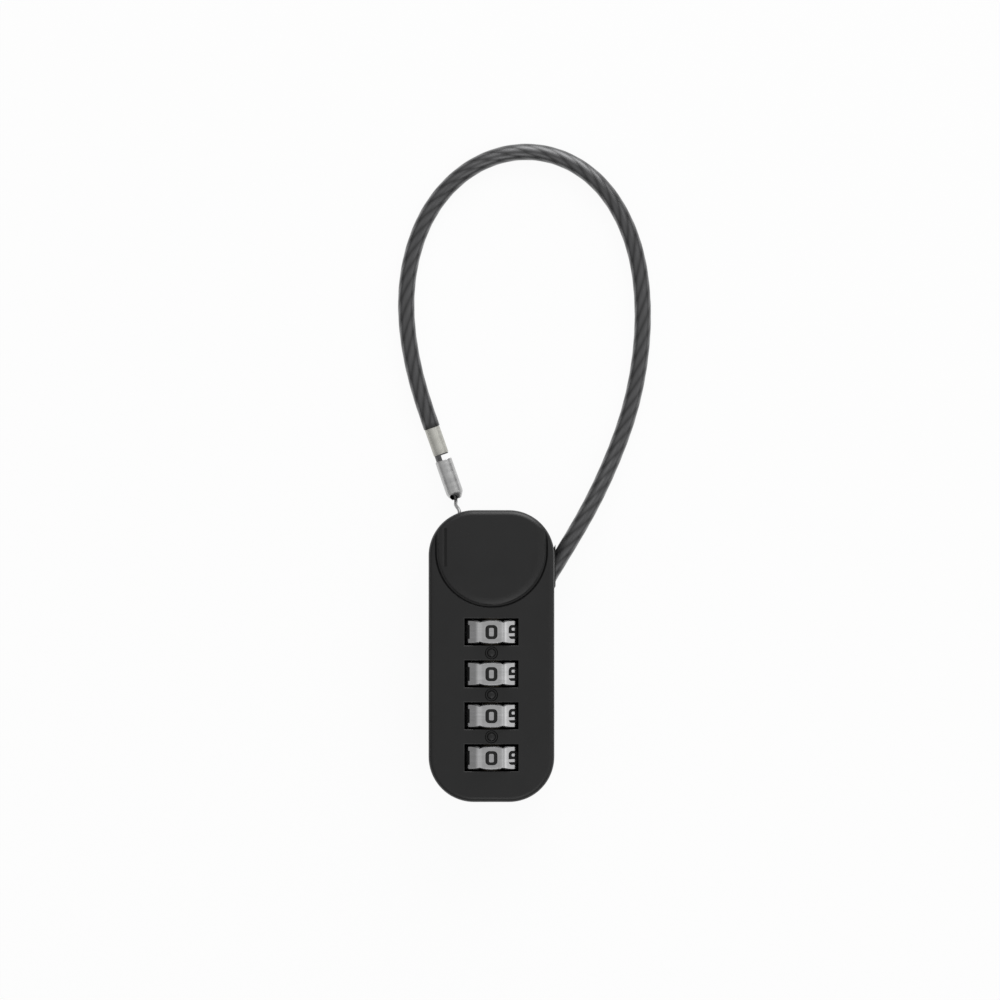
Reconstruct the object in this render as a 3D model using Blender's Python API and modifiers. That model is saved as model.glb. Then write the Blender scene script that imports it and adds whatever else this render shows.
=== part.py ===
"""A short-loop cable lock with four number dials, as an assembly of its separate pieces.

The lock lies on its back: +Z comes out of its face, +Y runs to the end where the pin plugs in, and
the origin is at the middle of the back. All sizes are in metres and all angles in radians.
"""

import math

import bmesh
import bpy
from mathutils import Matrix, Vector

# ---------------------------------------------------------------- clearances
SEAT_GAP = 0.0003  # between a piece and what it is seated in
DIAL_GAP = 0.00035  # all round a turning dial
SLIDE_GAP = 0.00015  # between the spindle and its bush
FIN_GAP = 0.0001  # between the fins' tips and the code sleeves' flanges
FLOOR_GAP = 0.00005  # between the pin and what the lock lies on
OVERCUT = 0.001  # how far a cutter runs past the wall that it opens

# ---------------------------------------------------------------- head
HEAD_WIDTH = 0.0300
CORNER_RADIUS = 0.0108
EDGE_RADIUS = 0.0013
BACK_WALL = 0.0015
BOTTOM_WALL = 0.0033
TOP_WALL = 0.0018
FACE_HEIGHT = 0.0074  # the face stands this far in front of the dials' axis
PARTING_HEIGHT = 0.0060  # where the two housings meet, above the back
TOP_TO_FIRST_DIAL = 0.0290
LAST_DIAL_TO_BOTTOM = 0.0106
POCKET_WIDTH = 0.0016
POCKET_EDGE = 0.0026  # from the head's side to a pocket's middle
POCKET_ROOF = 0.0020

# ---------------------------------------------------------------- raised pad on the face
PAD_EDGE = 0.0025  # from the head's side to the pad's straight side
PAD_DROP = 0.0097  # centre of its round end, below the head's top edge
PAD_HEIGHT = 0.0008
PAD_BEVEL = 0.0012
GROOVE_WIDTH = 0.0009
GROOVE_LENGTH = 0.0088
GROOVE_DEPTH = 0.0004
GROOVE_INSET = 0.0006  # its middle, in from the side of the pad's flat top
GROOVE_END = 0.0003  # from its upper end to the edge of the pad's flat top

# ---------------------------------------------------------------- dials
DIAL_COUNT = 4
DIAL_PITCH = 0.0100
DIAL_PADS = 10
DIAL_RADIUS = 0.0094  # out to the edge between two pads
DIAL_WIDTH = 0.0058
RIM_SCALLOP = 0.0005  # how far each rim draws in between two pads
WINDOW_SIDE = 0.00045  # from a dial's rim to the long side of its window
WINDOW_END = 0.0001  # past where the dial's well opens the face
WINDOW_BEVEL = 0.0003
WINDOW_DEPTH = 0.0025
DIMPLE_RADIUS = 0.00155
DIMPLE_DEPTH = 0.00035

# ---------------------------------------------------------------- code sleeves
SLEEVE_RADIUS = 0.00405
SLEEVE_WALL = 0.00095
FLANGE_LENGTH = 0.0012  # the flange inside, which the gate is cut in
GATE_WIDTH = 0.0015
LUG_HEIGHT = 0.0006  # the lugs that key a sleeve to its dial
LUG_WIDTH = 0.0008
LUG_LENGTH = 0.0012
LUG_INSET = 0.0001  # below the dial's upper side

# ---------------------------------------------------------------- spindle and its springs
SHAFT_RADIUS = 0.0016
FIN_REACH = 0.0024
FIN_WIDTH = 0.0010
FIN_LENGTH = 0.0010
RELEASE_STROKE = 0.0020  # how far the spindle and the latch bolt slide
COLLAR_RADIUS = 0.0028
COLLAR_LENGTH = 0.0009
CONE_TIP_RADIUS = 0.0003
CONE_DROP = 0.0010  # the cone's wide end, below the latch bolt's middle
BUSH_LENGTH = 0.0028
SPINDLE_SPRING_LENGTH = 0.0055
SPRING_WIRE = 0.00045
SPINDLE_SPRING_TURNS = 4
SLEEVE_SPRING_TURNS = 5

# ---------------------------------------------------------------- latch bolt
LATCH_DROP = 0.0043  # its middle, below the head's top edge
LATCH_THICKNESS = 0.0013
LATCH_NOSE_REACH = 0.0018  # how far it stands into the pin's notch
LATCH_NOSE_HEIGHT = 0.0046
LATCH_TAIL_HEIGHT = 0.0050
LATCH_JOG = 0.0010  # the overlap of its nose and tail across the bolt

# ---------------------------------------------------------------- detent spring
LEAF_THICKNESS = 0.00035
LEAF_HEIGHT = 0.0045
LEAF_BUMP = 0.00045
LEAF_OVERHANG = 0.0040  # past the middle of the first and the last dial
LEAF_POINTS_PER_DIAL = 10

# ---------------------------------------------------------------- reset button
STEM_RADIUS = 0.0024
BUTTON_RECESS = 0.0003
BUTTON_FLOOR = 0.0011

# ---------------------------------------------------------------- cable
CABLE_RADIUS = 0.0020
CABLE_EXIT_DROP = 0.0140  # where it leaves the right side, below the head's top edge
CABLE_EXIT_ANGLE = math.radians(31.0)  # from +Y towards +X
CABLE_STEP = 0.0080
GROMMET_WALL = 0.0004
GROMMET_BORE_GAP = 0.0002
GROMMET_LENGTH = 0.0066
GROMMET_LIP = 0.0004
ANCHOR_WALL = 0.0006
ANCHOR_LENGTH = 0.0046
ANCHOR_FLOOR = 0.0010

# The cable's way over the table, in millimetres from the point where it leaves the head.
CABLE_ROUTE_MM = [
    (2.57, 4.28, 0.0),
    (7.1, 11.8, -0.35),
    (9.6, 16.6, -1.15),
    (12.0, 21.4, -2.1),
    (14.0, 26.2, -2.95),
    (16.0, 31.0, -3.5),
    (17.6, 35.8, -3.8),
    (19.0, 40.6, -3.9),
    (20.8, 50.2, -3.9),
    (21.4, 59.8, -3.9),
    (20.8, 69.4, -3.9),
    (18.6, 79.0, -3.9),
    (13.7, 88.6, -3.9),
    (9.2, 93.4, -3.9),
    (5.0, 96.3, -3.9),
    (0.2, 98.6, -3.9),
    (-7.4, 100.2, -3.9),
    (-14.2, 99.0, -3.9),
    (-19.0, 96.8, -3.9),
    (-23.2, 93.4, -3.9),
    (-27.7, 88.6, -3.9),
    (-30.8, 83.8, -3.9),
    (-34.3, 74.2, -3.9),
    (-35.4, 64.6, -3.9),
    (-34.8, 55.0, -3.9),
    (-33.0, 45.4, -3.9),
    (-30.9, 38.1, -3.9),
    (-29.4, 33.9, -3.9),
]

# ---------------------------------------------------------------- locking pin and its socket
PIN_TILT = math.radians(19.3)  # from -Y towards +X
PIN_RADIUS = 0.00205
PIN_LENGTH = 0.0114
PIN_SHOULDER_RADIUS = 0.00185
PIN_SHOULDER = 0.0010  # above the notch
NOTCH_LENGTH = 0.0015
NOTCH_CUT = 0.0024  # how deep the notch is cut from the pin's side
TIP_CHAMFER = 0.0007
TIP_HOLLOW_RADIUS = 0.0011
TIP_HOLLOW_DEPTH = 0.0025
CRIMP_RADIUS = 0.00185
CRIMP_LENGTH = 0.0062
CRIMP_CHAMFER = 0.0002
SOCKET_OFFSET = 0.0077  # the socket's axis, left of the middle
SOCKET_FLARE = 0.0005
TETHER_RADIUS = 0.0004
TETHER_OFFSET = 0.0006  # the wire's way, left of the socket's axis
TETHER_ANCHOR_RADIUS = 0.0012
TETHER_ANCHOR_LENGTH = 0.0024

# ---------------------------------------------------------------- rivets
RIVET_RADIUS = 0.0010
RIVET_HEAD_RADIUS = 0.0015
RIVET_HEAD = 0.0009
RIVET_RECESS = 0.0002
RIVET_LENGTH = 0.0118
RIVET_EDGE = 0.0032  # from the head's side to a rivet's middle
RIVET_FOOT = 0.0043  # from the head's bottom edge to the lower rivets
RIVET_SPREAD = 0.0075  # the lower rivets, out from the middle
RIVET_BELOW_SOCKET = 0.0068
RIVET_BELOW_LATCH = 0.0024

# ---------------------------------------------------------------- how round things are
ARC_STEPS = 8  # to a quarter turn, in the head's corners
EDGE_STEPS = 3
WELL_STEPS = 20  # to half a turn
ROUND_STEPS = 28  # to a full turn, on small turned pieces
DIAL_STEPS = 6  # to one pad of a dial

# ---------------------------------------------------------------- places that follow from the sizes
HEAD_LENGTH = TOP_TO_FIRST_DIAL + (DIAL_COUNT - 1) * DIAL_PITCH + LAST_DIAL_TO_BOTTOM
TOP_Y = HEAD_LENGTH / 2
BOTTOM_Y = -HEAD_LENGTH / 2
SIDE_X = HEAD_WIDTH / 2
AXIS_Z = BACK_WALL + DIAL_GAP + DIAL_RADIUS
FACE_Z = AXIS_Z + FACE_HEIGHT
DIAL_YS = [TOP_Y - TOP_TO_FIRST_DIAL - n * DIAL_PITCH for n in range(DIAL_COUNT)]
BETWEEN_DIALS = [y - DIAL_PITCH / 2 for y in DIAL_YS[:-1]]

PAD_RADIUS = SIDE_X - PAD_EDGE
GROOVE_X = -PAD_RADIUS + PAD_BEVEL + GROOVE_INSET
GROOVE_OFF_CORNER = GROOVE_X - GROOVE_WIDTH / 2 + SIDE_X - CORNER_RADIUS
GROOVE_REACH = math.sqrt((CORNER_RADIUS - EDGE_RADIUS) ** 2 - GROOVE_OFF_CORNER**2)
GROOVE_TOP_Y = TOP_Y - CORNER_RADIUS + GROOVE_REACH - GROOVE_END

WELL_RADIUS = DIAL_RADIUS + DIAL_GAP
WELL_HALF = DIAL_WIDTH / 2 + DIAL_GAP
WINDOW_HALF_WIDTH = math.sqrt(WELL_RADIUS**2 - FACE_HEIGHT**2) + WINDOW_END
WINDOW_HALF_LENGTH = DIAL_WIDTH / 2 + WINDOW_SIDE

TUNNEL_RADIUS = SLEEVE_RADIUS + SEAT_GAP
SLEEVE_HALF = (DIAL_PITCH - SEAT_GAP) / 2
SLEEVE_BORE = SLEEVE_RADIUS - SLEEVE_WALL
FLANGE_BORE = FIN_REACH + FIN_GAP
LUG_RADIUS = SLEEVE_RADIUS + LUG_HEIGHT
LUG_RECESS_RADIUS = LUG_RADIUS + SEAT_GAP
LUG_TOP = DIAL_WIDTH / 2 - LUG_INSET
LUG_BOTTOM = LUG_TOP - LUG_LENGTH
RESET_STROKE = LUG_LENGTH + 2 * LUG_INSET
LUG_RECESS_TOP = LUG_TOP + RESET_STROKE + SEAT_GAP

LATCH_Y = TOP_Y - LATCH_DROP
CONE_Y = LATCH_Y - CONE_DROP
CONE_LENGTH = COLLAR_RADIUS - CONE_TIP_RADIUS
COLLAR_Y = CONE_Y - COLLAR_LENGTH
BUSH_TOP_Y = COLLAR_Y - 2 * SEAT_GAP - SPINDLE_SPRING_LENGTH
BUSH_BOTTOM_Y = BUSH_TOP_Y - BUSH_LENGTH
UPPER_TUNNEL_RADIUS = COLLAR_RADIUS + SEAT_GAP
SLEEVES_TOP_Y = DIAL_YS[0] + SLEEVE_HALF
SLEEVES_BOTTOM_Y = DIAL_YS[-1] - SLEEVE_HALF
CAVITY_BOTTOM_Y = BOTTOM_Y + BOTTOM_WALL
BUTTON_TOP_Y = SLEEVES_BOTTOM_Y - SEAT_GAP
BUTTON_END_Y = BOTTOM_Y + BUTTON_RECESS
SPINDLE_END_Y = BUTTON_TOP_Y - SEAT_GAP

SOCKET_X = -SOCKET_OFFSET
SOCKET_RADIUS = PIN_RADIUS + SEAT_GAP
NOTCH_MIDDLE = PIN_SHOULDER + NOTCH_LENGTH / 2  # from the pin's upper end
SOCKET_END_Y = LATCH_Y - (PIN_LENGTH - NOTCH_MIDDLE) - SEAT_GAP
TETHER_X = SOCKET_X - TETHER_OFFSET
LATCH_NOSE_X = SOCKET_X + PIN_RADIUS - LATCH_NOSE_REACH
LATCH_TAIL_X = -CONE_TIP_RADIUS

EXIT = Vector((SIDE_X, TOP_Y - CABLE_EXIT_DROP, PARTING_HEIGHT))
EXIT_WAY = Vector((math.sin(CABLE_EXIT_ANGLE), math.cos(CABLE_EXIT_ANGLE), 0))
GROMMET_BORE = CABLE_RADIUS + GROMMET_BORE_GAP
GROMMET_RADIUS = GROMMET_BORE + GROMMET_WALL
ANCHOR_BORE = CABLE_RADIUS + SEAT_GAP
ANCHOR_RADIUS = ANCHOR_BORE + ANCHOR_WALL
ANCHOR_START = -GROMMET_LENGTH - SEAT_GAP  # along the cable's way out, from EXIT
ANCHOR_END = ANCHOR_START - ANCHOR_LENGTH
CABLE_START = ANCHOR_END + ANCHOR_FLOOR + SEAT_GAP

PIN_WAY = Vector((math.sin(PIN_TILT), -math.cos(PIN_TILT), 0))
CABLE_END = EXIT + Vector(CABLE_ROUTE_MM[-1]) * 0.001
CRIMP_TOP = Vector((CABLE_END.x, CABLE_END.y, PIN_RADIUS + FLOOR_GAP)) + PIN_WAY * SEAT_GAP
PIN_TOP = CRIMP_TOP + PIN_WAY * (CRIMP_LENGTH + SEAT_GAP)
PIN_TIP = PIN_TOP + PIN_WAY * PIN_LENGTH

RIVET_X = SIDE_X - RIVET_EDGE
RIVET_PLACES = [
    (-RIVET_SPREAD, BOTTOM_Y + RIVET_FOOT),
    (RIVET_SPREAD, BOTTOM_Y + RIVET_FOOT),
    (RIVET_X, BETWEEN_DIALS[0]),
    (-RIVET_X, SOCKET_END_Y - RIVET_BELOW_SOCKET),
    (-SOCKET_X, LATCH_Y - RIVET_BELOW_LATCH),
]
RIVET_BORE = RIVET_RADIUS + SEAT_GAP


# ---------------------------------------------------------------- scene, materials and objects
def clear_scene():
    for obj in list(bpy.data.objects):
        bpy.data.objects.remove(obj, do_unlink=True)
    for group in list(bpy.data.collections):
        bpy.data.collections.remove(group)


def new_collection(name):
    group = bpy.data.collections.new(name)
    bpy.context.scene.collection.children.link(group)
    return group


def material(name, colour, roughness, metallic=0.0):
    mat = bpy.data.materials.new(name)
    mat.use_nodes = True
    mat.diffuse_color = (*colour, 1)
    shader = mat.node_tree.nodes["Principled BSDF"]
    shader.inputs["Base Color"].default_value = (*colour, 1)
    shader.inputs["Roughness"].default_value = roughness
    shader.inputs["Metallic"].default_value = metallic
    return mat


def place(name, data, group, mat=None, matrix=None):
    """A new object of this data, in this collection."""
    obj = bpy.data.objects.new(name, data)
    group.objects.link(obj)
    obj.matrix_world = matrix or Matrix.Identity(4)
    if mat:
        data.materials.append(mat)
    if group is CUTTERS:
        obj.hide_render = True
        obj.display_type = "WIRE"
    return obj


def finish_mesh(bm, name):
    bmesh.ops.recalc_face_normals(bm, faces=bm.faces)
    mesh = bpy.data.meshes.new(name)
    bm.to_mesh(mesh)
    bm.free()
    return mesh


def boolean(target, tool, operation="DIFFERENCE"):
    mod = target.modifiers.new(tool.name, "BOOLEAN")
    mod.object = tool
    mod.operation = operation
    mod.solver = "EXACT"


def along(start, way):
    """The matrix that puts a shape turned about its own Z at start, with Z along way."""
    return Matrix.Translation(start) @ Vector(way).to_track_quat("Z", "Y").to_matrix().to_4x4()


def on_axis(y):
    """A place on the dials' axis with Z along +Y, so that a local +X is a world +X."""
    return Matrix.Translation((0, y, AXIS_Z)) @ Matrix.Rotation(-math.pi / 2, 4, "X")


# ---------------------------------------------------------------- shapes
def add_box(bm, low, high):
    """Adds a box between two corners, and gives its vertices."""
    low, high = Vector(low), Vector(high)
    size = high - low
    matrix = Matrix.Translation((low + high) / 2) @ Matrix.Diagonal((*size, 1))
    return bmesh.ops.create_cube(bm, size=1, matrix=matrix)["verts"]


def box_mesh(name, *corners):
    """One mesh of a box for each pair of corners."""
    bm = bmesh.new()
    for low, high in corners:
        add_box(bm, low, high)
    return finish_mesh(bm, name)


def add_rod(bm, radius, start, end, steps=ROUND_STEPS):
    way = Vector(end) - Vector(start)
    middle = (Vector(start) + Vector(end)) / 2
    bmesh.ops.create_cone(
        bm,
        cap_ends=True,
        segments=steps,
        radius1=radius,
        radius2=radius,
        depth=way.length,
        matrix=along(middle, way),
    )


def rod_mesh(name, radius, *ends, steps=ROUND_STEPS):
    """One mesh of a cylinder for each pair of end points."""
    bm = bmesh.new()
    for start, end in ends:
        add_rod(bm, radius, start, end, steps)
    return finish_mesh(bm, name)


def add_prism(bm, outline, way):
    """Extrudes a flat outline, and gives the face at its far end."""
    face = bm.faces.new([bm.verts.new(p) for p in outline])
    moved = bmesh.ops.extrude_face_region(bm, geom=[face])["geom"]
    bmesh.ops.translate(bm, vec=way, verts=[v for v in moved if isinstance(v, bmesh.types.BMVert)])
    return next(f for f in moved if isinstance(f, bmesh.types.BMFace))


def arch_mesh(name, radius, *spans, steps=WELL_STEPS):
    """A round-topped passage along Y for each span, open down to below the parting line."""
    low = PARTING_HEIGHT - OVERCUT
    bm = bmesh.new()
    for start, end in spans:
        outline = [(radius, start, low)]
        for n in range(steps + 1):
            angle = math.pi * n / steps
            outline.append((radius * math.cos(angle), start, AXIS_Z + radius * math.sin(angle)))
        outline.append((-radius, start, low))
        add_prism(bm, outline, (0, end - start, 0))
    return finish_mesh(bm, name)


def turned(name, profile, group, mat=None, matrix=None, steps=ROUND_STEPS):
    """A piece turned about its own Z, from a profile of (radius, height) pairs."""
    mesh = bpy.data.meshes.new(name)
    last = len(profile) - 1
    edges = [(n, n + 1) for n in range(last)]
    if profile[0][0] > 0:
        edges.append((last, 0))
    mesh.from_pydata([(r, 0, h) for r, h in profile], edges, [])
    obj = place(name, mesh, group, mat, matrix)
    screw = obj.modifiers.new("turn", "SCREW")
    screw.axis = "Z"
    screw.steps = steps
    screw.render_steps = steps
    screw.use_merge_vertices = True
    screw.merge_threshold = 0.000001
    screw.use_smooth_shade = True
    return obj


def head_outline(height):
    """The head's outline, a rectangle with round corners, at a height above the back."""
    points = []
    for quarter, (sx, sy) in enumerate([(1, 1), (-1, 1), (-1, -1), (1, -1)]):
        cx = sx * (SIDE_X - CORNER_RADIUS)
        cy = sy * (TOP_Y - CORNER_RADIUS)
        for n in range(ARC_STEPS + 1):
            angle = (quarter + n / ARC_STEPS) * math.pi / 2
            x = cx + CORNER_RADIUS * math.cos(angle)
            y = cy + CORNER_RADIUS * math.sin(angle)
            points.append((x, y, height))
    return points


def head_slab(name, start, end):
    """A slab of the head from one height to another, with the edge at its far end rounded."""
    bm = bmesh.new()
    far = add_prism(bm, head_outline(start), (0, 0, end - start))
    bmesh.ops.bevel(
        bm,
        geom=list(far.edges),
        offset=EDGE_RADIUS,
        offset_type="OFFSET",
        affect="EDGES",
        segments=EDGE_STEPS,
        profile=0.5,
        material=-1,
    )
    return finish_mesh(bm, name)


def smooth_path(points, step):
    """Points about a step apart on a smooth curve through the given ones."""
    ends = [2 * points[0] - points[1]] + points + [2 * points[-1] - points[-2]]
    path = []
    for a, b, c, d in zip(ends, ends[1:], ends[2:], ends[3:]):
        pieces = max(1, round((c - b).length / step))
        for n in range(pieces):
            t = n / pieces
            path.append(
                0.5 * (2 * b + (c - a) * t + (2 * a - 5 * b + 4 * c - d) * t**2)
                + 0.5 * (3 * b - a - 3 * c + d) * t**3
            )
    return path + [points[-1]]


def tube(name, path, radius, mat, resolution):
    curve = bpy.data.curves.new(name, "CURVE")
    curve.dimensions = "3D"
    curve.bevel_depth = radius
    curve.bevel_resolution = resolution
    curve.use_fill_caps = True
    spline = curve.splines.new("POLY")
    spline.points.add(len(path) - 1)
    for point, place_on_path in zip(spline.points, path):
        point.co = (*place_on_path, 1)
    return place(name, curve, PARTS, mat)


def coil_spring(name, mean_radius, low_y, high_y, turns, mat):
    """A compression spring round the spindle, whose least gap between turns is printed."""
    points_per_turn = 10
    wire = SPRING_WIRE / 2
    count = turns * points_per_turn
    path = []
    for n in range(count + 1):
        angle = 2 * math.pi * n / points_per_turn
        y = low_y + wire + (high_y - low_y - SPRING_WIRE) * n / count
        path.append(Vector((mean_radius * math.cos(angle), y, AXIS_Z + mean_radius * math.sin(angle))))
    gaps = [(path[n + points_per_turn] - path[n]).length for n in range(count - points_per_turn)]
    print(f"{name}: least gap between turns {(min(gaps) - SPRING_WIRE) * 1000:.2f} mm")
    return tube(name, path, wire, mat, 1)


# ---------------------------------------------------------------- the two housings
def pad_tool():
    """The raised pad: a round-ended shape, sloped all round, that keeps the head's own top edge."""
    middle = TOP_Y - PAD_DROP
    past_top = TOP_Y + PAD_BEVEL + OVERCUT
    steps = 4 * ARC_STEPS
    outline = [(PAD_RADIUS, past_top), (-PAD_RADIUS, past_top)]
    for n in range(steps + 1):
        angle = math.pi * (1 + n / steps)
        outline.append((PAD_RADIUS * math.cos(angle), middle + PAD_RADIUS * math.sin(angle)))
    base = FACE_Z - EDGE_RADIUS
    bm = bmesh.new()
    top = add_prism(bm, [(x, y, base) for x, y in outline], (0, 0, EDGE_RADIUS))
    bmesh.ops.inset_region(bm, faces=[top], thickness=PAD_BEVEL, depth=PAD_HEIGHT)
    pad = place("pad_tool", finish_mesh(bm, "pad_tool"), CUTTERS)
    edge_mesh = head_slab("pad_edge_tool", base - OVERCUT, FACE_Z + PAD_HEIGHT)
    edge = place("pad_edge_tool", edge_mesh, CUTTERS)
    boolean(pad, edge, "INTERSECT")
    return pad


def window_tool():
    """The dial windows, each flared at the face."""
    grow = WINDOW_BEVEL + OVERCUT
    bm = bmesh.new()
    for y in DIAL_YS:
        low = (-WINDOW_HALF_WIDTH, y - WINDOW_HALF_LENGTH, FACE_Z - WINDOW_DEPTH)
        high = (WINDOW_HALF_WIDTH, y + WINDOW_HALF_LENGTH, FACE_Z - WINDOW_BEVEL)
        verts = add_box(bm, low, high)
        top = next(f for f in bm.faces if all(v in verts and v.co.z > high[2] - 1e-6 for v in f.verts))
        moved = bmesh.ops.extrude_face_region(bm, geom=[top])["geom"]
        bmesh.ops.delete(bm, geom=[top], context="FACES_ONLY")
        rim = [v for v in moved if isinstance(v, bmesh.types.BMVert)]
        for v in rim:
            v.co.x += math.copysign(grow, v.co.x)
            v.co.y += math.copysign(grow, v.co.y - y)
            v.co.z += grow
    return place("window_tool", finish_mesh(bm, "window_tool"), CUTTERS)


def dimple_tool():
    ball = (DIMPLE_RADIUS**2 + DIMPLE_DEPTH**2) / (2 * DIMPLE_DEPTH)
    bm = bmesh.new()
    for y in BETWEEN_DIALS:
        middle = Matrix.Translation((0, y, FACE_Z + ball - DIMPLE_DEPTH))
        bmesh.ops.create_uvsphere(bm, u_segments=24, v_segments=32, radius=ball, matrix=middle)
    return place("dimple_tool", finish_mesh(bm, "dimple_tool"), CUTTERS)


def groove_tool():
    top = FACE_Z + PAD_HEIGHT
    low = (GROOVE_X - GROOVE_WIDTH / 2, GROOVE_TOP_Y - GROOVE_LENGTH, top - GROOVE_DEPTH)
    high = (GROOVE_X + GROOVE_WIDTH / 2, GROOVE_TOP_Y, top + OVERCUT)
    return place("groove_tool", box_mesh("groove_tool", (low, high)), CUTTERS)


def shared_tools():
    """The cutters for what lies across the parting line, half in each housing."""
    socket = turned(
        "socket_tool",
        [
            (0, TOP_Y + OVERCUT),
            (SOCKET_RADIUS + SOCKET_FLARE + OVERCUT, TOP_Y + OVERCUT),
            (SOCKET_RADIUS, TOP_Y - 2 * SOCKET_FLARE),
            (SOCKET_RADIUS, SOCKET_END_Y),
            (0, SOCKET_END_Y),
        ],
        CUTTERS,
        matrix=along((SOCKET_X, 0, PARTING_HEIGHT), (0, 1, 0)),
    )
    pocket_bottom = SOCKET_END_Y - TETHER_ANCHOR_LENGTH - 2 * SEAT_GAP
    tether_pocket = rod_mesh(
        "tether_tool",
        TETHER_ANCHOR_RADIUS + SEAT_GAP,
        ((TETHER_X, pocket_bottom, PARTING_HEIGHT), (TETHER_X, SOCKET_END_Y + OVERCUT, PARTING_HEIGHT)),
        steps=16,
    )
    hole = GROMMET_RADIUS + SLIDE_GAP
    cavity = ANCHOR_RADIUS + SLIDE_GAP
    cable_way = turned(
        "cable_tool",
        [
            (0, 4 * CABLE_RADIUS),
            (hole, 4 * CABLE_RADIUS),
            (hole, ANCHOR_START + SEAT_GAP),
            (cavity, ANCHOR_START + SEAT_GAP),
            (cavity, ANCHOR_END - SEAT_GAP),
            (0, ANCHOR_END - SEAT_GAP),
        ],
        CUTTERS,
        matrix=along(EXIT, EXIT_WAY),
    )
    low, high = latch_box()
    room = Vector((SEAT_GAP, SLIDE_GAP, SEAT_GAP))
    slot_low = Vector(low) - room
    slot_high = Vector(high) + room + Vector((RELEASE_STROKE, 0, 0))
    latch_slot = place("latch_tool", box_mesh("latch_tool", (slot_low, slot_high)), CUTTERS)
    return [
        socket,
        place("tether_tool", tether_pocket, CUTTERS),
        cable_way,
        latch_slot,
    ]


def dial_spans(below, above):
    """A span along Y at each dial, reaching below and above its middle."""
    return [(y - below, y + above) for y in DIAL_YS]


def tunnel_spans():
    lug_recess = [(y + WELL_HALF - SLIDE_GAP, y + LUG_RECESS_TOP) for y in DIAL_YS]
    sleeves = (CAVITY_BOTTOM_Y, BUSH_TOP_Y + SEAT_GAP)
    upper = (BUSH_TOP_Y, TOP_Y - TOP_WALL)
    return sleeves, upper, lug_recess


def front_housing(mat, shared):
    mesh = head_slab("front_housing", PARTING_HEIGHT + SEAT_GAP / 2, FACE_Z)
    obj = place("front_housing", mesh, PARTS, mat)
    boolean(obj, pad_tool(), "UNION")
    sleeves, upper, lug_recess = tunnel_spans()
    arches = [
        ("front_well_tool", WELL_RADIUS, dial_spans(WELL_HALF, WELL_HALF), WELL_STEPS),
        ("front_tunnel_tool", TUNNEL_RADIUS, [sleeves], WELL_STEPS - 4),
        ("front_spring_tool", UPPER_TUNNEL_RADIUS, [upper], WELL_STEPS - 6),
        ("front_lug_tool", LUG_RECESS_RADIUS, lug_recess, WELL_STEPS - 4),
    ]
    for name, radius, spans, steps in arches:
        boolean(obj, place(name, arch_mesh(name, radius, *spans, steps=steps), CUTTERS))

    leaf_low, leaf_high = leaf_box()
    room = Vector((SEAT_GAP, SEAT_GAP, SEAT_GAP))
    leaf_floor = Vector((0, 0, OVERCUT))
    leaf_slot = box_mesh("leaf_tool", (leaf_low - room - leaf_floor, leaf_high + room))
    boolean(obj, place("leaf_tool", leaf_slot, CUTTERS))
    roof = FACE_Z - POCKET_ROOF
    pockets = []
    for side in (POCKET_EDGE - SIDE_X, SIDE_X - POCKET_EDGE):
        low = (side - POCKET_WIDTH / 2, DIAL_YS[-1], PARTING_HEIGHT - OVERCUT)
        high = (side + POCKET_WIDTH / 2, BETWEEN_DIALS[0] - RIVET_EDGE, roof)
        pockets.append((low, high))
    boolean(obj, place("pocket_tool", box_mesh("pocket_tool", *pockets), CUTTERS))

    button_hole = ((0, BOTTOM_Y - OVERCUT, AXIS_Z), (0, CAVITY_BOTTOM_Y + OVERCUT, AXIS_Z))
    hole = rod_mesh("button_hole_tool", STEM_RADIUS + SEAT_GAP, button_hole)
    boolean(obj, place("button_hole_tool", hole, CUTTERS))
    top = RIVET_RECESS + RIVET_LENGTH + SEAT_GAP
    ends = [((x, y, PARTING_HEIGHT - OVERCUT), (x, y, top)) for x, y in RIVET_PLACES]
    bores = rod_mesh("front_rivet_tool", RIVET_BORE, *ends, steps=16)
    boolean(obj, place("front_rivet_tool", bores, CUTTERS))
    for tool in (window_tool(), dimple_tool(), groove_tool(), *shared):
        boolean(obj, tool)
    return obj


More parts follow.
